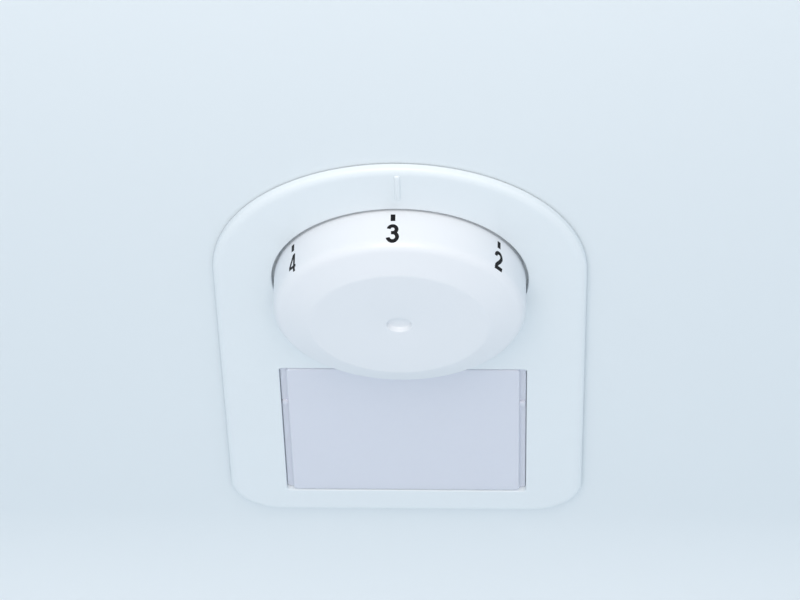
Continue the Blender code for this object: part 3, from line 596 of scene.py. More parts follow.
def softened(nodes, edge, steps=2):
    """A fine copy of flat-sided nodes, with every sharp edge rounded."""
    for node in nodes:
        bm = filled(frame["nodes"][node].data)
        bmesh.ops.scale(bm, vec=(1 / MM,) * 3, verts=bm.verts)
        bmesh.ops.remove_doubles(bm, verts=bm.verts, dist=0.002)
        bmesh.ops.dissolve_limit(bm, angle_limit=math.radians(0.6), verts=bm.verts, edges=bm.edges)
        guide = as_object("guide", bm)
        bevel = guide.modifiers.new("Bevel", "BEVEL")
        bevel.width = edge
        bevel.segments = steps
        bevel.limit_method = "ANGLE"
        bevel.angle_limit = math.radians(25)
        bevel.use_clamp_overlap = True
        finished(f"{node}_piece", filled(evaluated(guide)), [node], crease=37)


def evaluated(guide):
    """The guide's mesh with its modifiers applied. The guide itself is removed."""
    bpy.context.view_layer.update()
    seen = guide.evaluated_get(bpy.context.evaluated_depsgraph_get())
    mesh = bpy.data.meshes.new_from_object(seen)
    bpy.data.objects.remove(guide)
    return mesh


# Geometry trees


def turned_tree():
    """Turns a profile into a solid of revolution about Z, with a thread where the profile says so."""
    tree, given, out = new_tree(
        "Turned solid", "GeometryNodeTree",
        {"Profile": ("NodeSocketGeometry", None), "Steps": ("NodeSocketInt", 96),
         "Points": ("NodeSocketInt", 2),
         "Thread Pitch": ("NodeSocketFloat", 1.0), "Thread Depth": ("NodeSocketFloat", 0.0),
         "Finish": ("NodeSocketMaterial", None)},
        {"Solid": "NodeSocketGeometry"})

    def calc(operation, *values):
        return maths(tree, operation, *values)

    across = calc("ADD", given["Steps"], 1)
    grid = add_node(tree, "GeometryNodeMeshGrid", {"Size X": 1.0, "Size Y": 1.0, "Vertices X": across,
                                                   "Vertices Y": given["Points"]})
    at = add_node(tree, "ShaderNodeSeparateXYZ", {0: add_node(tree, "GeometryNodeInputPosition").outputs[0]})
    angle = calc("MULTIPLY", calc("ADD", at.outputs["X"], 0.5), math.tau)
    last = calc("SUBTRACT", given["Points"], 1)
    index = calc("ROUND", calc("MULTIPLY", calc("ADD", at.outputs["Y"], 0.5), last))
    profile = {"Geometry": given["Profile"], "Value": add_node(tree, "GeometryNodeInputPosition").outputs[0],
               "Index": index}
    corner = add_node(tree, "GeometryNodeSampleIndex", profile, data_type="FLOAT_VECTOR", domain="POINT")
    on = add_node(tree, "ShaderNodeSeparateXYZ", {0: corner.outputs[0]}).outputs
    winding = calc("SUBTRACT", calc("DIVIDE", calc("MULTIPLY", on["Y"], math.tau), given["Thread Pitch"]),
                   angle)
    thread = calc("MULTIPLY", calc("MULTIPLY", calc("COSINE", winding), given["Thread Depth"]), on["Z"])
    radius = calc("ADD", on["X"], thread)
    place = add_node(tree, "ShaderNodeCombineXYZ", {"X": calc("MULTIPLY", radius, calc("COSINE", angle)),
                                                    "Y": calc("MULTIPLY", radius, calc("SINE", angle)),
                                                    "Z": on["Y"]})
    moved = add_node(tree, "GeometryNodeSetPosition",
                     {"Geometry": grid.outputs[0], "Position": place.outputs[0]})
    joined = add_node(tree, "GeometryNodeMergeByDistance",
                      {"Geometry": moved.outputs[0], "Distance": SAME_PLACE})
    return ended(tree, joined.outputs[0], given, out)


def swept_tree():
    """Sweeps a round section along a line of points."""
    tree, given, out = new_tree(
        "Swept round", "GeometryNodeTree",
        {"Line": ("NodeSocketGeometry", None), "Radius": ("NodeSocketFloat", 1.0),
         "Sides": ("NodeSocketInt", 16),
         "Finish": ("NodeSocketMaterial", None)},
        {"Solid": "NodeSocketGeometry"})
    line = add_node(tree, "GeometryNodeMeshToCurve", {"Mesh": given["Line"]})
    section = add_node(tree, "GeometryNodeCurvePrimitiveCircle", {"Resolution": given["Sides"],
                                                                  "Radius": given["Radius"]})
    swept = add_node(tree, "GeometryNodeCurveToMesh",
                     {"Curve": line.outputs[0], "Profile Curve": section.outputs[0],
                                                       "Fill Caps": True})
    return ended(tree, swept.outputs[0], given, out)


def placed_tree():
    """Puts a copy of a pattern on each point, turned and scaled as the point says."""
    tree, given, out = new_tree(
        "Placed copies", "GeometryNodeTree",
        {"Places": ("NodeSocketGeometry", None), "Pattern": ("NodeSocketObject", None),
         "Finish": ("NodeSocketMaterial", None)},
        {"Solid": "NodeSocketGeometry"})
    pattern = add_node(tree, "GeometryNodeObjectInfo", {"Object": given["Pattern"]})
    turn = add_node(tree, "GeometryNodeInputNamedAttribute", {"Name": "turn"}, data_type="FLOAT_VECTOR")
    size = add_node(tree, "GeometryNodeInputNamedAttribute", {"Name": "size"}, data_type="FLOAT_VECTOR")
    copies = add_node(tree, "GeometryNodeInstanceOnPoints", {"Points": given["Places"],
                                                             "Instance": pattern.outputs["Geometry"],
                                                             "Rotation": turn.outputs[0], "Scale": size.outputs[0]})
    return ended(tree, copies.outputs[0], given, out)


def ended(tree, geometry, given, out):
    """Realises the instances and sets the material, and gives the tree."""
    real = add_node(tree, "GeometryNodeRealizeInstances", {0: geometry})
    coated = add_node(tree, "GeometryNodeSetMaterial",
                      {"Geometry": real.outputs[0], "Material": given["Finish"]})
    return given_out(tree, out, Solid=coated.outputs[0])


TREE_MAKERS = {"turned": turned_tree, "swept": swept_tree, "placed": placed_tree}


def grown(tree_name, guide_points, edges=(), marks=None, **inputs):
    """Runs a geometry tree on a guide of points, and gives the mesh that it makes."""
    if tree_name not in GROUPS:
        GROUPS[tree_name] = TREE_MAKERS[tree_name]()
    tree = GROUPS[tree_name]
    guide_mesh = bpy.data.meshes.new("guide")
    guide_mesh.from_pydata([tuple(point) for point in guide_points], edges, [])
    for label, values in (marks or {}).items():
        attribute = guide_mesh.attributes.new(label, "FLOAT_VECTOR", "POINT")
        for slot, value in zip(attribute.data, values):
            slot.vector = value
    guide = linked("guide", guide_mesh)
    modifier = guide.modifiers.new("Tree", "NODES")
    modifier.node_group = tree
    named = {item.name: item.identifier for item in tree.interface.items_tree if item.in_out == "INPUT"}
    for label, value in inputs.items():
        modifier[named[label.replace("_", " ").title()]] = value
    mesh = evaluated(guide)
    if not mesh.polygons:
        raise RuntimeError(f"the tree {tree_name} made no faces")
    return mesh


AXIS_TURNS = {
    "Z": Matrix.Identity(4),
    "Y": Matrix.Rotation(math.radians(-90), 4, "X"),
    "X": Matrix.Rotation(math.radians(90), 4, "Y"),
}


def turned(bm, profile, axis, centre, steps, pitch=1.0, thread=0.0, ring=False):
    """Adds a turned solid. A profile point is (radius, along) or (radius, along, share of the thread)."""
    points = [(*point, 0.0)[:3] for point in profile]
    if ring:
        points.append(points[0])
    mesh = grown("turned", points, steps=steps, points=len(points), thread_pitch=pitch, thread_depth=thread)
    added(bm, mesh, Matrix.Translation(centre) @ AXIS_TURNS[axis])


def swept(bm, line, radius, sides):
    """Adds a round wire along a line."""
    edges = [(i, i + 1) for i in range(len(line) - 1)]
    added(bm, grown("swept", line, edges, radius=radius, sides=sides))


def turned_piece(name, profile, axis, centre, steps, nodes=(), thread=(1.0, 0.0), ring=False, **kind):
    """Makes a turned solid a piece. The thread is its pitch and its depth."""
    bm = bmesh.new()
    turned(bm, profile, axis, centre, steps, *thread, ring)
    finished(name, bm, nodes, **kind)


def swept_piece(name, line, radius, sides, node):
    """Makes a round wire a piece."""
    bm = bmesh.new()
    swept(bm, line, radius, sides)
    finished(name, bm, [node])


def placed_copies(pattern_bm, places, turns=None, sizes=None):
    """One mesh with a copy of the pattern at each place."""
    pattern = as_object("pattern", pattern_bm)
    marks = {"turn": turns or [(0, 0, 0)] * len(places), "size": sizes or [(1, 1, 1)] * len(places)}
    mesh = grown("placed", places, marks=marks, pattern=pattern)
    bpy.data.objects.remove(pattern)
    return mesh


# Plate


def plate_outline(inset):
    """The plate's outline moved in: an arch, straight sides and two round bottom corners."""
    low, side = PLATE_BOTTOM + CORNER_RADIUS, HALF_WIDTH - CORNER_RADIUS
    points = arc((0, ARCH_CENTRE), HALF_WIDTH - inset, -90, 90, 128)
    points += arc((side, low), CORNER_RADIUS - inset, 90, 180, 20)
    return points + arc((-side, low), CORNER_RADIUS - inset, 180, 270, 20)


def knob_hole(grow):
    """The opening round the knob."""
    return arc((0, 0), KNOB_HOLE + grow, 0, 357.5, 143)


def window(grow):
    """The opening round the lens."""
    low_x, low_z, high_x, high_z = WINDOW
    return round_rectangle(low_x - grow, low_z - grow, high_x + grow, high_z + grow, 1.0 + grow)


def at_depth(outline, y):
    """A flat outline put at a depth."""
    return [(x, y, z) for x, z in outline]


def quarter(radius, steps):
    """How far in and how far down each step of a round edge lies, from the flat face outwards."""
    turns = [math.pi / 2 * i / steps for i in range(steps + 1)]
    return [(radius * (1 - math.sin(turn)), radius * (1 - math.cos(turn))) for turn in turns]


def make_plate():
    """The plate: a round rim, an opening for the knob and one for the lens, and four posts for its screws."""
    chosen = settings("plate")
    bm = bmesh.new()
    shadow_gap, shadow_width = 0.3, 1.2
    face = PLATE_FACE
    rim = [at_depth(plate_outline(chosen.rim_width + 0.5), face)]
    rim += [at_depth(plate_outline(inset * chosen.rim_width), face + down * chosen.rim_drop)
            for inset, down in quarter(1.0, 12)]
    rim += [at_depth(plate_outline(0), -shadow_gap - 0.12), at_depth(plate_outline(0.12), -shadow_gap)]
    rim += [at_depth(plate_outline(shadow_width), -shadow_gap), at_depth(plate_outline(shadow_width), 0)]
    edge = chosen.opening_round
    loops = [lofted(bm, rim, capped=False)]
    for outline, collar, wall in ((knob_hole, 3.7, 1.6), (window, 4.0, 1.5)):
        rings = [(edge + 0.4, face), *[(inset, face + down) for inset, down in quarter(edge, 6)]]
        rings += [(0, collar), (wall, collar), (wall, 0)]
        loops.append(lofted(bm, [at_depth(outline(grow), y) for grow, y in rings], capped=False))
    closed_over(bm, *[rows[0] for rows in loops])
    closed_over(bm, *[rows[-1] for rows in loops])
    outside, bore, top, floor = 3.0, 1.8, 5.7, 0.3
    post = [(0, -1.2), (outside, -1.2), (outside, top), (bore, top), (bore, floor), (0, floor)]
    for x, z in SCREW_POSTS:
        turned(bm, eased(post, 0.3), "Y", (x, 0, z), steps=48)
    finished("cover_plate", bm, ["front_plate"])
    make_index_mark()


def make_index_mark():
    """The raised mark that the figures are read against."""
    bm = bmesh.new()
    half, low, high = 0.7, 34.7, 44.6
    rings = [at_depth(round_rectangle(-half, low, half, high, half * 0.98, 10), PLATE_FACE + 0.4)]
    for turn in range(0, 91, 15):
        inset = 0.42 * (1 - math.cos(math.radians(turn)))
        y = PLATE_FACE - INDEX_RISE * math.sin(math.radians(turn))
        outline = round_rectangle(-half + inset, low + inset, half - inset, high - inset,
                                  (half - inset) * 0.98, 10)
        rings.append(at_depth(outline, y))
    lofted(bm, rings)
    finished("index_mark", bm, body="base", slot="plate_plastic", crease=60)


# Dial


def knob_skirt():
    """The outside of the knob, from its rear edge round to the middle of its front."""
    corner = (KNOB_RADIUS, PLATE_FACE - SKIRT_LENGTH)
    behind_face = KNOB_RADIUS - 0.4
    rear_edge = [(behind_face - 0.35, KNOB_REAR), (behind_face, KNOB_REAR), (behind_face, PLATE_FACE + 0.6)]
    face_edge, recess = (21.4, KNOB_FRONT), 1.2
    start = eased([*rear_edge, (KNOB_RADIUS, PLATE_FACE), (KNOB_RADIUS, PLATE_FACE - 0.5)], 0.3)
    bevel = eased([start[-1], corner, face_edge], settings("knob").corner_round, 14)
    face = eased([bevel[-2], face_edge, (3.2, KNOB_FRONT)], 0.55, 8)
    dimple = eased([face[-2], (3.0, KNOB_FRONT), (2.72, KNOB_FRONT + recess), (0, KNOB_FRONT + recess)], 0.3,
                   5)
    return start[:-1] + bevel[:-2] + face[:-2] + dimple


def skirt_radius(y):
    """The knob's outer radius at a depth."""
    line = knob_skirt()
    for (r0, y0), (r1, y1) in zip(line, line[1:]):
        if y1 < y0 and y1 <= y <= y0:
            return r0 + (r1 - r0) * (y0 - y) / (y0 - y1)
    raise RuntimeError(f"the knob has no skirt at {y}")


def make_knob():
    """The knob with its hub and eight webs inside, and the pieces that turn with it."""
    wall = 2.4
    inside = KNOB_FRONT + wall
    hub = [(0, -9.5), (3.3, -9.5), (3.3, 2.0), (6.0, 2.0), (6.0, inside), (20.6, inside)]
    hub += [(KNOB_RADIUS - wall, PLATE_FACE - SKIRT_LENGTH + wall), (KNOB_RADIUS - wall, KNOB_REAR),
            knob_skirt()[0]]
    bm = bmesh.new()
    turned(bm, eased(hub, 0.5)[:-1] + knob_skirt(), "Y", (0, 0, 0), steps=256)
    for clock in range(0, 360, 45):
        inner = Vector(on_axis("Y", *clock_point(6.6, clock), 0))
        outer = Vector(on_axis("Y", *clock_point(26.6, clock), 0))
        side = (outer - inner).normalized().cross(Vector((0, 1, 0))) * 0.5
        web = [inner - side, outer - side, outer + side, inner + side]
        lofted(bm, [[(p.x, y, p.z) for p in web] for y in (inside - 0.4, inside + 1.6)])
    finished("knob_body", bm, ["control_knob"])
    softened(["spindle", "range_cam", "hub_clamp_ring"], 0.12)


def bow(centre, across, up, first, last, steps=22):
    """Part of an ellipse, by clock angle."""
    clocks = [math.radians(first + (last - first) * i / steps) for i in range(steps + 1)]
    return [(centre[0] + across * math.sin(c), centre[1] + up * math.cos(c)) for c in clocks]


# The box that a figure is drawn in, before it is scaled to its height.
PRINT_TALL = 5.4
PRINT_MIDDLE = 1.55


def figure_strokes():
    """The middle line of each figure's strokes, in a box 3.1 wide and PRINT_TALL tall."""
    return {
        "0": [bow((1.55, 2.7), 1.14, 2.31, 0, 360, 48)],
        "1": [[(1.95, 0), (1.95, PRINT_TALL)], [(0.7, 4.1), (1.3, 4.2), (1.75, 4.6), (1.95, 5.2)]],
        "2": [bow((1.5, 3.82), 1.13, 1.19, 268, 470) + [(1.9, 2.45), (1.05, 1.62), (0.58, 1.0), (0.42, 0.3)],
              [(0.03, 0.39), (3.0, 0.39)]],
        "3": [bow((1.5, 3.95), 1.03, 1.06, 280, 530) + [(1.1, 2.92)],
              [(1.1, 2.92)] + bow((1.48, 1.66), 1.22, 1.27, 8, 262, 30)],
        "4": [[(2.32, 0), (2.32, PRINT_TALL)], [(2.1, 5.2), (0.22, 1.75)], [(0, 1.5), (3.1, 1.5)]],
        "5": [[(0.62, 5.01), (2.8, 5.01)], [(0.92, 5.35), (0.6, 2.55)],
              bow((1.46, 1.78), 1.24, 1.4, 304, 617, 34)],
    }


def ribbon(bm, line, half, top, closed=False):
    """A flat stroke of even width along a line, as a thin slab."""
    line = [Vector(point) for point in line]
    rows = []
    for i, point in enumerate(line):
        before = line[i - 1] if i else (line[-2] if closed else point)
        after = line[i + 1] if i + 1 < len(line) else (line[1] if closed else point)
        along = (after - before).normalized()
        if before != point and after != point:
            lean = max(0.5, along.dot((after - point).normalized()))
        else:
            lean = 1.0
        out = Vector((-along.y, along.x)) * half / lean
        rows.append([(*(point + out), top), (*(point - out), top), (*(point - out), -0.05),
                     (*(point + out), -0.05)])
    made = [[bm.verts.new(corner) for corner in row] for row in rows]
    for first, second in zip(made, made[1:]):
        for i in range(4):
            bm.faces.new((first[i], first[(i + 1) % 4], second[(i + 1) % 4], second[i]))
    if not closed:
        bm.faces.new(made[0])
        bm.faces.new(made[-1])


def wrapped(bm, clock, low_y):
    """Cuts flat print finely and lays it on the knob's skirt: its width goes round, its height towards the wall."""
    first_cut, between_cuts = 0.13, 0.25
    for normal, count in ((Vector((1, 0, 0)), 14), (Vector((0, 1, 0)), 24)):
        for i in range(count):
            geometry = bm.verts[:] + bm.edges[:] + bm.faces[:]
            at = normal * (first_cut + between_cuts * i)
            bmesh.ops.bisect_plane(bm, geom=geometry, plane_co=at, plane_no=normal)
    for vertex in bm.verts:
        across, up, rise = vertex.co
        y = low_y + up
        radius = skirt_radius(y) + rise
        x, z = clock_point(radius, clock + math.degrees((across - PRINT_MIDDLE) / KNOB_RADIUS))
        vertex.co = (x, y, z)


PRINT = {"body": "dial", "slot": "knob_plastic", "finish": "printed_ink", "crease": 50}


def make_figures():
    """Prints the figures on the skirt, and a tick beside each."""
    chosen = settings("knob")
    grow = chosen.figure_height / PRINT_TALL
    film, figures_at, ticks_at, tick_length = 0.012, 6.32, 2.9, 1.84
    for figure, strokes in figure_strokes().items():
        half = chosen.figure_stroke * (0.40 if figure == "4" else 0.5)
        bm = bmesh.new()
        for i, line in enumerate(strokes):
            line = [(PRINT_MIDDLE + (u - PRINT_MIDDLE) * grow, v * grow) for u, v in line]
            ribbon(bm, line, half, film + 0.003 * i, closed=figure == "0")
        wrapped(bm, FIGURES[figure], PLATE_FACE - figures_at - chosen.figure_height / 2)
        finished(f"figure_{figure}", bm, **PRINT)
    tick = bmesh.new()
    ribbon(tick, [(PRINT_MIDDLE, 0), (PRINT_MIDDLE, tick_length)], 0.55, film)
    wrapped(tick, 0, PLATE_FACE - ticks_at)
    ticks = placed_copies(tick, [(0, 0, 0)] * len(FIGURES),
                          [(0, math.radians(c), 0) for c in FIGURES.values()])
    finished("figure_ticks", filled(ticks), **PRINT)


# Lens


def make_lens():
    """A shallow frosted tray: a raised pan, a lower flange down each side, a skirt behind and two small catches."""
    bm = bmesh.new()
    (low_x, front, low_z), (high_x, rear, high_z) = LENS_LOW, LENS_HIGH
    flange, catch_low, catch_high = front + 1.2, -58.4, -56.6
    pan_half, lower_lip, upper_lip, lower_bevel = 28.65, 0.3, 0.45, 7.0

    def pan(inset):
        bottom, top = low_z + lower_lip + lower_bevel * inset, high_z - upper_lip - inset
        side = pan_half - inset
        return round_rectangle(-side, bottom, side, top, 1.0 - 0.4 * inset, 6)

    def skirt(inset):
        return round_rectangle(low_x + inset, low_z + inset, high_x - inset, high_z - inset,
                               1.0 - 0.4 * inset, 6)

    rings = [at_depth(pan(0.7), front)]
    rings += [at_depth(pan(inset), front + down) for inset, down in quarter(0.3, 5)]
    rings += [at_depth(pan(0), flange), at_depth(skirt(0.12), flange), at_depth(skirt(0), flange + 0.12)]
    rings += [at_depth(skirt(0), rear), at_depth(skirt(1.2), rear), at_depth(skirt(1.2), flange + 2.0)]
    lofted(bm, rings)
    for side in (-1, 1):
        inner, outer = sorted((side * (pan_half - 0.5), side * (high_x - 0.1)))

        def catch(inset, inner=inner, outer=outer):
            return round_rectangle(inner + inset, catch_low + inset, outer - inset, catch_high - inset,
                                   0.4 - inset, 4)

        slab(bm, catch, "Y", front + 0.5, 0, 0.2)
    finished("lens_cover", bm, ["lamp_lens"])


# Housing


def make_housing():
    """The housing with the ribs and the ejector marks of its mould, and its grommet and clips."""
    softened(["rear_housing"], 0.3, steps=3)
    bm, bump, pin = bmesh.new(), bmesh.new(), bmesh.new()
    back = node_box("rear_housing")[1][1]

    def rib(inset):
        return round_rectangle(-0.8 + inset, -16 + inset, 0.8 - inset, 16 - inset, 0.7 - inset, 5)

    slab(bump, rib, "Y", -0.3, 0.7, 0.3)
    places = [(x, back, -18) for x in (-12, -4, 4, 12)] + [(x, back, -67) for x in (-24, 24)]
    added(bm, placed_copies(bump, places, sizes=[(1, 1, 1)] * 4 + [(1, 1, 0.94)] * 2))
    turned(pin, eased([(0, -0.2), (2.0, -0.2), (2.0, 0.12), (1.7, 0.12), (1.7, 0.04), (0, 0.04)], 0.05), "Y",
           (0, 0, 0),
           steps=32)
    spots = [(x, back, z) for x in (-30, 30) for z in (-88, -40, 8)] + [(0, back, 30)]
    added(bm, placed_copies(pin, spots))
    finished("housing_ribs", bm, body="base", slot="housing_plastic", crease=40)
    make_grommet()
    make_clips()


def make_grommet():
    """The rubber grommet in the cable entry."""
    low, high = node_box("cable_grommet")
    centre = ((low[0] + high[0]) / 2, 0, (low[2] + high[2]) / 2)
    profile = [(3.5, 41.4), (7.6, 41.4), (8.0, 41.9), (8.0, 43.9), (6.0, 43.9), (6.0, 46.3), (8.0, 46.3),
               (8.0, 47.6)]
    profile += [(7.2, 48.4), (4.4, 48.4), (3.5, 47.8), (3.5, 45.0), (3.5, 41.4)]
    turned_piece("entry_grommet", eased(profile, 0.35), "Y", centre, 96, ["cable_grommet"])


def make_clips():
    """Spring clips bent from one strip, each with a lance that grips the panel."""
    softened(["retaining_clip_left", "retaining_clip_right"], 0.12)


# Length and head height of the pattern, and for each kind: its axis, an axis across it and its head's height.
SCREW_LENGTH, SCREW_HEAD = 2.9, 0.72
SCREW_KINDS = {"housing": (1, 0, 2.0), "bracket": (1, 0, 1.7), "clip": (0, 2, 1.4)}


def screw_pattern():
    """A pan-head screw one head radius wide, with its seat at 0, its head up and its shank a rolled thread."""
    profile = [(0, -SCREW_LENGTH), (0.12, -2.86), (0.30, -2.6)]
    profile += [(0.42, -2.5 + 0.06 * i, 1.0) for i in range(40)]
    profile += [(0.42, -0.1), (0.48, 0.0), (0.95, 0.0), (1.0, 0.06), (1.0, 0.30)]
    dome = [(math.cos(math.radians(t)), 0.30 + 0.42 * math.sin(math.radians(t))) for t in range(10, 90, 10)]
    bm = bmesh.new()
    turned(bm, [*profile, *dome, (0, SCREW_HEAD)], "Z", (0, 0, 0), steps=48, pitch=0.33, thread=0.06)
    screw = as_object("pattern", bm)
    arm = [(-0.52, -0.075), (0.52, -0.075), (0.52, 0.075), (-0.52, 0.075)]
    tools = []
    for turn in (0, 90):
        spin = Matrix.Rotation(math.radians(turn), 3, "Z")
        tool = bmesh.new()
        lofted(tool, [[spin @ Vector((u * s, v, z)) for u, v in arm] for s, z in ((0.45, 0.22), (1.0, 0.75), (1, 1))])
        bmesh.ops.recalc_face_normals(tool, faces=tool.faces)
        tools.append(as_object("tool", tool))
        cut = screw.modifiers.new("Recess", "BOOLEAN")
        cut.operation = "DIFFERENCE"
        cut.object = tools[-1]
    mesh = evaluated(screw)
    for tool in tools:
        bpy.data.objects.remove(tool)
    return filled(mesh)


def make_screws():
    """Puts the pattern at each screw's place, with its head on the side that the screw is driven from."""
    nodes = [node for node in frame["nodes"] if "screw" in node]
    places, turns, sizes = [], [], []
    for node in nodes:
        low, high = node_box(node)
        place = [(a + b) / 2 for a, b in zip(low, high)]
        kind = node.split("_")[0]
        along, across, height = SCREW_KINDS[kind]
        side = {"housing": 1, "bracket": -1, "clip": math.copysign(1, place[0])}[kind]
        place[along] = high[along] - height if side > 0 else low[along] + height
        places.append(place)
        spin = math.radians(23 * len(places)) if kind == "housing" else 0
        turns.append((0, math.radians(90 * side), 0) if kind == "clip" else (math.radians(-90 * side), spin, 0))
        head, length = (high[across] - low[across]) / 2, high[along] - low[along] - height
        stretch = length / SCREW_LENGTH
        sizes.append((head, head, min(stretch, height / SCREW_HEAD) if length > 8 else stretch))
    finished("screws", filled(placed_copies(screw_pattern(), places, turns, sizes)), nodes)


# Thermostat


def make_thermostat():
    """The frame with its bracket, levers, switch and terminals, then the bush, the element and the spring."""
    softened(["support_bracket", "thermostat_frame", "bush_nut", "switch_block", "terminal_live",
              "terminal_lamp",
              "terminal_load", "fixed_contact", "contact_blade", "range_lever", "main_lever", "range_lever_stud",
              "main_lever_stud"], 0.12)
    outside = [(3.3, 2.6), (4.6, 2.6), (5.0, 3.0)] + [(4.9, 3.1 + 0.1 * i, 1.0) for i in range(64)]
    outside += [(5.0, 9.6), (6.8, 9.6), (7.0, 9.8), (7.0, 12.2), (6.8, 12.4), (3.3, 12.4)]
    turned_piece("threaded_bush", outside, "Y", (0, 0, 0), 64, ["spindle_bush"], thread=(1.0, 0.1), ring=True)
    make_element()
    make_range_spring()


def make_element():
    """The sealed element: a bellows, the pin it pushes, and a fine tube that runs out to a coil."""
    centre = (0, 17.0, -12.0)
    profile = [(0, 17.3), (3.5, 17.3), (3.5, 18.4), (8.5, 19.0), (8.5, 19.7)]
    for crest in (20.2, 21.4):
        profile += [(7.9, crest), (8.5, crest + 0.6), (8.5, crest + 0.7)]
    profile += [(8.5, 23.2), (7.6, 24.0), (3.0, 24.4), (2.0, 26.4), (0, 26.4)]
    turned_piece("bellows", eased(profile, 0.35), "X", centre, 96, ["bellows_capsule"])
    pin = eased([(0, 14.4), (1.1, 14.4), (1.1, 17.0), (0, 17.0)], 0.3)
    turned_piece("push_pin", pin, "X", centre, 40, ["bellows_pin"])
    stops = [(26.8, 17.0, -12), (29, 18.5, -11.5), (29.2, 23, -10.5), (26.5, 28.5, -10), (20.8, 32.9, -7.5)]
    coil = []
    per_turn = 72
    for i in range(int(2.5 * per_turn) + 1):
        x, z = clock_point(17.0, 90 - 360 * i / per_turn)
        coil.append((x, 35.0 + 2.4 * i / per_turn, z))
    per_leg = 14
    lead_in = smooth_route([*stops, coil[0], coil[8]], per_leg)[:-per_leg - 1]
    swept_piece("capillary", lead_in + coil, 0.88, 20, "capillary_tube")


def make_range_spring():
    """The tension spring between the two levers."""
    turns, per_turn, radius = 12, 28, 2.6
    start, end = -9.7, 11.6
    line = []
    for i in range(turns * per_turn + 1):
        angle = math.tau * i / per_turn
        x = start + (end - start) * i / (turns * per_turn)
        line.append((x, 17.0 + radius * math.cos(angle), -15.0 + radius * math.sin(angle)))
    swept_piece("tension_spring", line, 0.38, 12, "range_spring")


# Lamp


def make_lamp():
    """A small lamp: its bulb, its screw cap, the glass stem and the coiled filament on its wires."""
    chosen = settings("lamp")
    centre = (0, LAMP_Y, 0)
    outer = [(0, -41.5)] + [clock_point(12.5, clock, (0, -54.0)) for clock in range(6, 90, 6)]
    outer += [(12.5, -54), (12.5, -62), (12.45, -66), (11.9, -71), (9.9, -76), (7.7, -80), (6.6, -83.5)]
    outer = eased(outer, 3.0, 6)
    inner = [(max(0.0, radius - 0.45), min(-41.95, along)) for radius, along in outer]
    turned_piece("bulb", outer + inner[::-1], "Z", centre, 128, ["lamp_glass"])
    cap = [(0, -83.8), (6.5, -83.8), (6.9, -84.2), (6.9, -85.0)]
    cap += [(6.35, -85.4 - 0.11 * i, 1.0) for i in range(94)]
    cap += [(6.3, -96.0), (6.1, -96.5), (4.4, -97.4), (3.0, -97.7), (2.4, -97.8), (2.2, -98.3), (1.7, -98.4),
            (0, -98.4)]
    turned_piece("screw_cap", cap, "Z", centre, 96, ["lamp_cap"], thread=(chosen.thread_pitch, 0.42))
    stem = [(0, -83.2), (5.6, -83.2), (4.6, -80.5), (2.6, -77), (2.0, -72), (2.6, -69.5), (2.3, -68.6),
            (0, -68.2)]
    turned_piece("glass_stem", eased(stem, 1.2), "Z", centre, 48, body="lamp", slot="lamp_glass")
    bm = bmesh.new()
    tips = []
    for side in (-1, 1):
        route = smooth_route([(1.2 * side, LAMP_Y, -80), (1.5 * side, LAMP_Y, -70), (3.2 * side, LAMP_Y, -62),
                              (6.2 * side, LAMP_Y, -56.5)], 8)
        swept(bm, route, 0.22, 10)
        tips.append(Vector(route[-1]))
    swept(bm, smooth_route([(0, LAMP_Y, -68.6), (0, LAMP_Y, -60), (0, LAMP_Y + 0.2, -54.3)], 6), 0.16, 8)
    coil = []
    turns, per_turn = chosen.filament_turns, 12
    for i in range(turns * per_turn + 1):
        share = i / (turns * per_turn)
        angle = math.tau * i / per_turn
        middle = tips[0].lerp(tips[1], share) + Vector((0, 0, 2.2 * math.sin(math.pi * share)))
        coil.append(middle + Vector((0, 0.34 * math.cos(angle), 0.34 * math.sin(angle))))
    swept(bm, coil, 0.09, 6)
    finished("filament", bm, body="lamp", slot="plated_steel", finish="tungsten", crease=50)


def make_holder():
    """The lamp holder with a ring of grip ribs, its threaded sleeve and its contacts."""
    base, top = (corner[2] for corner in node_box("lamp_holder"))
    centre = (0, LAMP_Y, 0)
    rib_low, rib_high = -92.0, -90.5
    profile = [(0, base), (10.4, base), (11.0, base + 0.6), (11.0, rib_low - 2.2), (13.0, rib_low - 2.2)]
    profile += [(13.0, rib_low - 0.3), (11.0, rib_low - 0.3), (11.0, rib_high + 0.3), (13.0, rib_high + 0.3)]
    profile += [(13.0, top), (7.9, top), (7.9, -99.8), (0, -99.8)]
    bm = bmesh.new()
    turned(bm, eased(profile, 0.25), "Z", centre, steps=128)
    grip = bmesh.new()
    turned(grip, eased([(0, rib_low - 9.6), (0.55, rib_low - 9.6), (0.55, rib_low - 2.6), (0, rib_low - 2.6)], 0.3),
           "Z", (0, 0, 0), steps=16)
    spots = [on_axis("Z", *clock_point(10.95, clock, (0, LAMP_Y)), 0) for clock in range(0, 360, 12)]
    spots = [spot for spot in spots if spot[1] < LAMP_Y + 6]
    added(bm, placed_copies(grip, spots))
    finished("lampholder", bm, ["lamp_holder"])
    sleeve = [(7.05, -89.2), (7.5, -89.2)] + [(7.4, -89.5 - 0.11 * i, 1.0) for i in range(70)]
    sleeve += [(7.5, -97.4), (7.05, -97.4)] + [(7.15, -97.1 + 0.11 * i, 1.0) for i in range(70)]
    thread = (settings("lamp").thread_pitch, 0.14)
    turned_piece("threaded_sleeve", sleeve, "Z", centre, 96, ["holder_sleeve"], thread, ring=True)
    softened(["centre_contact", "holder_tab_live", "holder_tab_neutral"], 0.12)


def make_reflector():
    """The white tray behind the lamp."""
    softened(["lamp_reflector"], 0.3, steps=3)


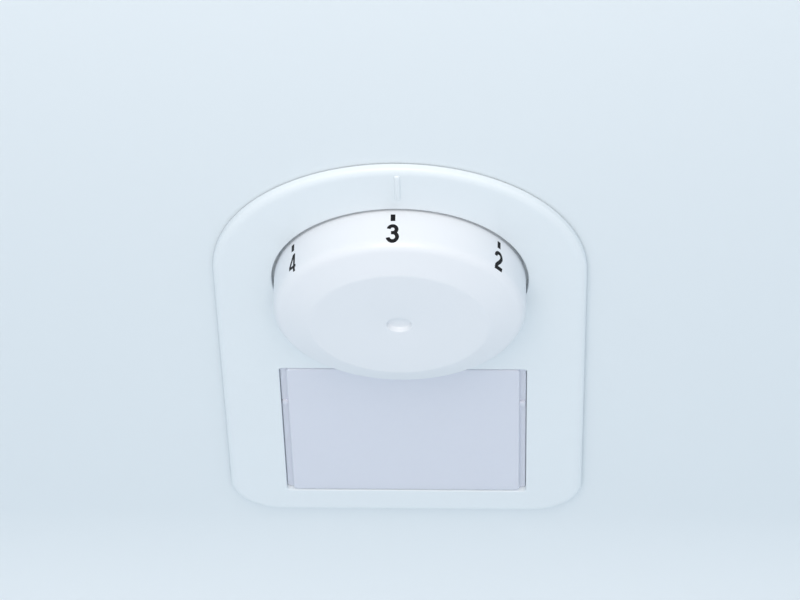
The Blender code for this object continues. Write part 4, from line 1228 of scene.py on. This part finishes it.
def make_leads():
    """Two insulated wires from the terminals down to the lamp holder."""
    for name, side in (("live", -1), ("neutral", 1)):
        stops = [(9 * side, 20, 35.8), (10 * side, 22, 36.9), (12.5 * side, 28, 35.5), (16 * side, 35, 27)]
        stops += [(21.5 * side, 38.5, 14), (24.5 * side, 38.5, 0), (25 * side, 38.5, -34),
                  (27 * side, 38.5, -55)]
        stops += [(27 * side, 38.5, -80), (24.6 * side, 39.5, -91), (17 * side, 41.2, -99),
                  (9 * side, 41.6, -100.9)]
        stops += [(5.4 * side, 39.8, -100.9), (5 * side, 37.4, -100.9)]
        swept_piece(f"lead_{name}", smooth_route(stops, 12), 0.78, 16, f"lamp_lead_{name}")


# Stage


WARM_WHITE = (1.0, 0.88, 0.78)
COOL_WHITE = (0.80, 0.89, 1.0, 1)
AIM_AT = (-0.00015, -0.0025, -0.0088)


def make_wall_and_floor():
    """A pale wall behind the unit that runs down into a pale floor in one wide curve."""
    chosen = settings("stage")
    half, start, depth, radius = 1.6, -0.113, 3.2, chosen.cove_radius
    front = -0.00006  # a hair in front of y = 0, so that no flat face of the unit lies in the wall
    line = [(front, half), (front, start + 0.01)]
    for i in range(49):
        turn = math.radians(90 * i / 48)
        line.append((front - radius * (1 - math.cos(turn)), start - radius * math.sin(turn)))
    line.append((-depth, start - radius))
    bm = bmesh.new()
    rows = [[bm.verts.new((x, y, z)) for x in (-half, half)] for y, z in line]
    for above, below in zip(rows, rows[1:]):
        bm.faces.new((below[0], below[1], above[1], above[0]))
    wall = as_object("wall_and_floor", bm)
    wall.data.materials.append(see_through_back("wall_finish", chosen.wall_colour))
    wall.data.shade_smooth()


def aim(location, target, roll=0.0):
    """Where a light or a camera stands, turned to face its target."""
    towards = (Vector(target) - Vector(location)).to_track_quat("-Z", "Y") @ Quaternion((0, 0, 1), roll)
    return Matrix.LocRotScale(Vector(location), towards, None)


def make_lights():
    """One soft light from above, and light from all sides."""
    chosen = settings("stage")
    key = bpy.data.lights.new("key", "AREA")
    key.shape = "SQUARE"
    key.size = 0.36
    key.energy = chosen.key_power
    key.color = WARM_WHITE
    linked("key", key).matrix_world = aim((-0.03, -0.29, 0.58), (0, 0, 0.01))
    world = bpy.data.worlds.new("sky")
    world.use_nodes = True
    background = world.node_tree.nodes["Background"]
    background.inputs["Color"].default_value = COOL_WHITE
    background.inputs["Strength"].default_value = chosen.sky_strength
    bpy.context.scene.world = world
    bpy.context.scene.view_settings.view_transform = "Standard"


def make_camera():
    """The camera, placed round the point that it looks at."""
    chosen = settings("stage")
    data = bpy.data.cameras.new("camera")
    data.lens = chosen.lens
    data.sensor_width = 36.0
    data.clip_start, data.clip_end = 0.05, 20.0
    camera = linked("camera", data)
    up, turn = chosen.elevation, chosen.azimuth
    back = Vector((math.sin(turn) * math.cos(up), -math.cos(turn) * math.cos(up), math.sin(up)))
    camera.matrix_world = aim(Vector(AIM_AT) + back * chosen.distance, AIM_AT, chosen.roll)
    bpy.context.scene.camera = camera


# Operators


def operator(name, label, words, *steps):
    """An operator class that runs the steps in order."""

    def execute(self, context):
        for step in steps:
            step()
        return {"FINISHED"}

    fields = {"__doc__": words, "bl_idname": f"thermounit.{name}", "bl_label": label, "execute": execute,
              "bl_options": {"REGISTER", "UNDO"}}
    return type(f"THERMOUNIT_OT_{name}", (bpy.types.Operator,), fields)


OPERATORS = [
    operator("plate", "Cover plate", "Build the cover plate and its index mark", make_plate),
    operator("knob", "Knob", "Build the knob and the pieces that turn with it", make_knob),
    operator("figures", "Figures", "Print the figures and their ticks on the knob", make_figures),
    operator("lens", "Lamp lens", "Build the frosted lens", make_lens),
    operator("housing", "Housing", "Build the housing, its ribs, grommet and clips", make_housing),
    operator("screws", "Screws", "Put a screw at every screw's place", make_screws),
    operator("thermostat", "Thermostat", "Build the thermostat behind the knob", make_thermostat),
    operator("lamp", "Lamp", "Build the bulb, its cap and its filament", make_lamp),
    operator("holder", "Lamp holder", "Build the holder and its contacts", make_holder),
    operator("reflector", "Reflector", "Build the reflector behind the lens", make_reflector),
    operator("leads", "Leads", "Lay the lamp's leads", make_leads),
    operator("stage", "Stage", "Build the wall, floor, lights and camera", make_wall_and_floor, make_lights,
             make_camera),
]


class THERMOUNIT_PT_panel(bpy.types.Panel):
    """Lists the settings and the operators."""

    bl_label = "Thermostat and lamp unit"
    bl_idname = "THERMOUNIT_PT_panel"
    bl_space_type = "VIEW_3D"
    bl_region_type = "UI"
    bl_category = "Thermostat"

    def draw(self, context):
        for name, group in SETTINGS.items():
            box = self.layout.box()
            box.label(text=name.capitalize())
            for field in group.__annotations__:
                box.prop(settings(name), field)
        for made in OPERATORS:
            self.layout.operator(made.bl_idname)


def register():
    for group in SETTINGS.values():
        bpy.utils.register_class(group)
    for name, group in SETTINGS.items():
        setattr(bpy.types.Scene, f"thermounit_{name}", bpy.props.PointerProperty(type=group))
    for made in [*OPERATORS, THERMOUNIT_PT_panel]:
        bpy.utils.register_class(made)


def unregister():
    for made in [THERMOUNIT_PT_panel, *reversed(OPERATORS)]:
        bpy.utils.unregister_class(made)
    for name, group in SETTINGS.items():
        delattr(bpy.types.Scene, f"thermounit_{name}")
        bpy.utils.unregister_class(group)


def main():
    register()
    for made in OPERATORS:
        getattr(bpy.ops.thermounit, made.bl_idname.split(".")[1])()


if __name__ == "__main__":
    main()
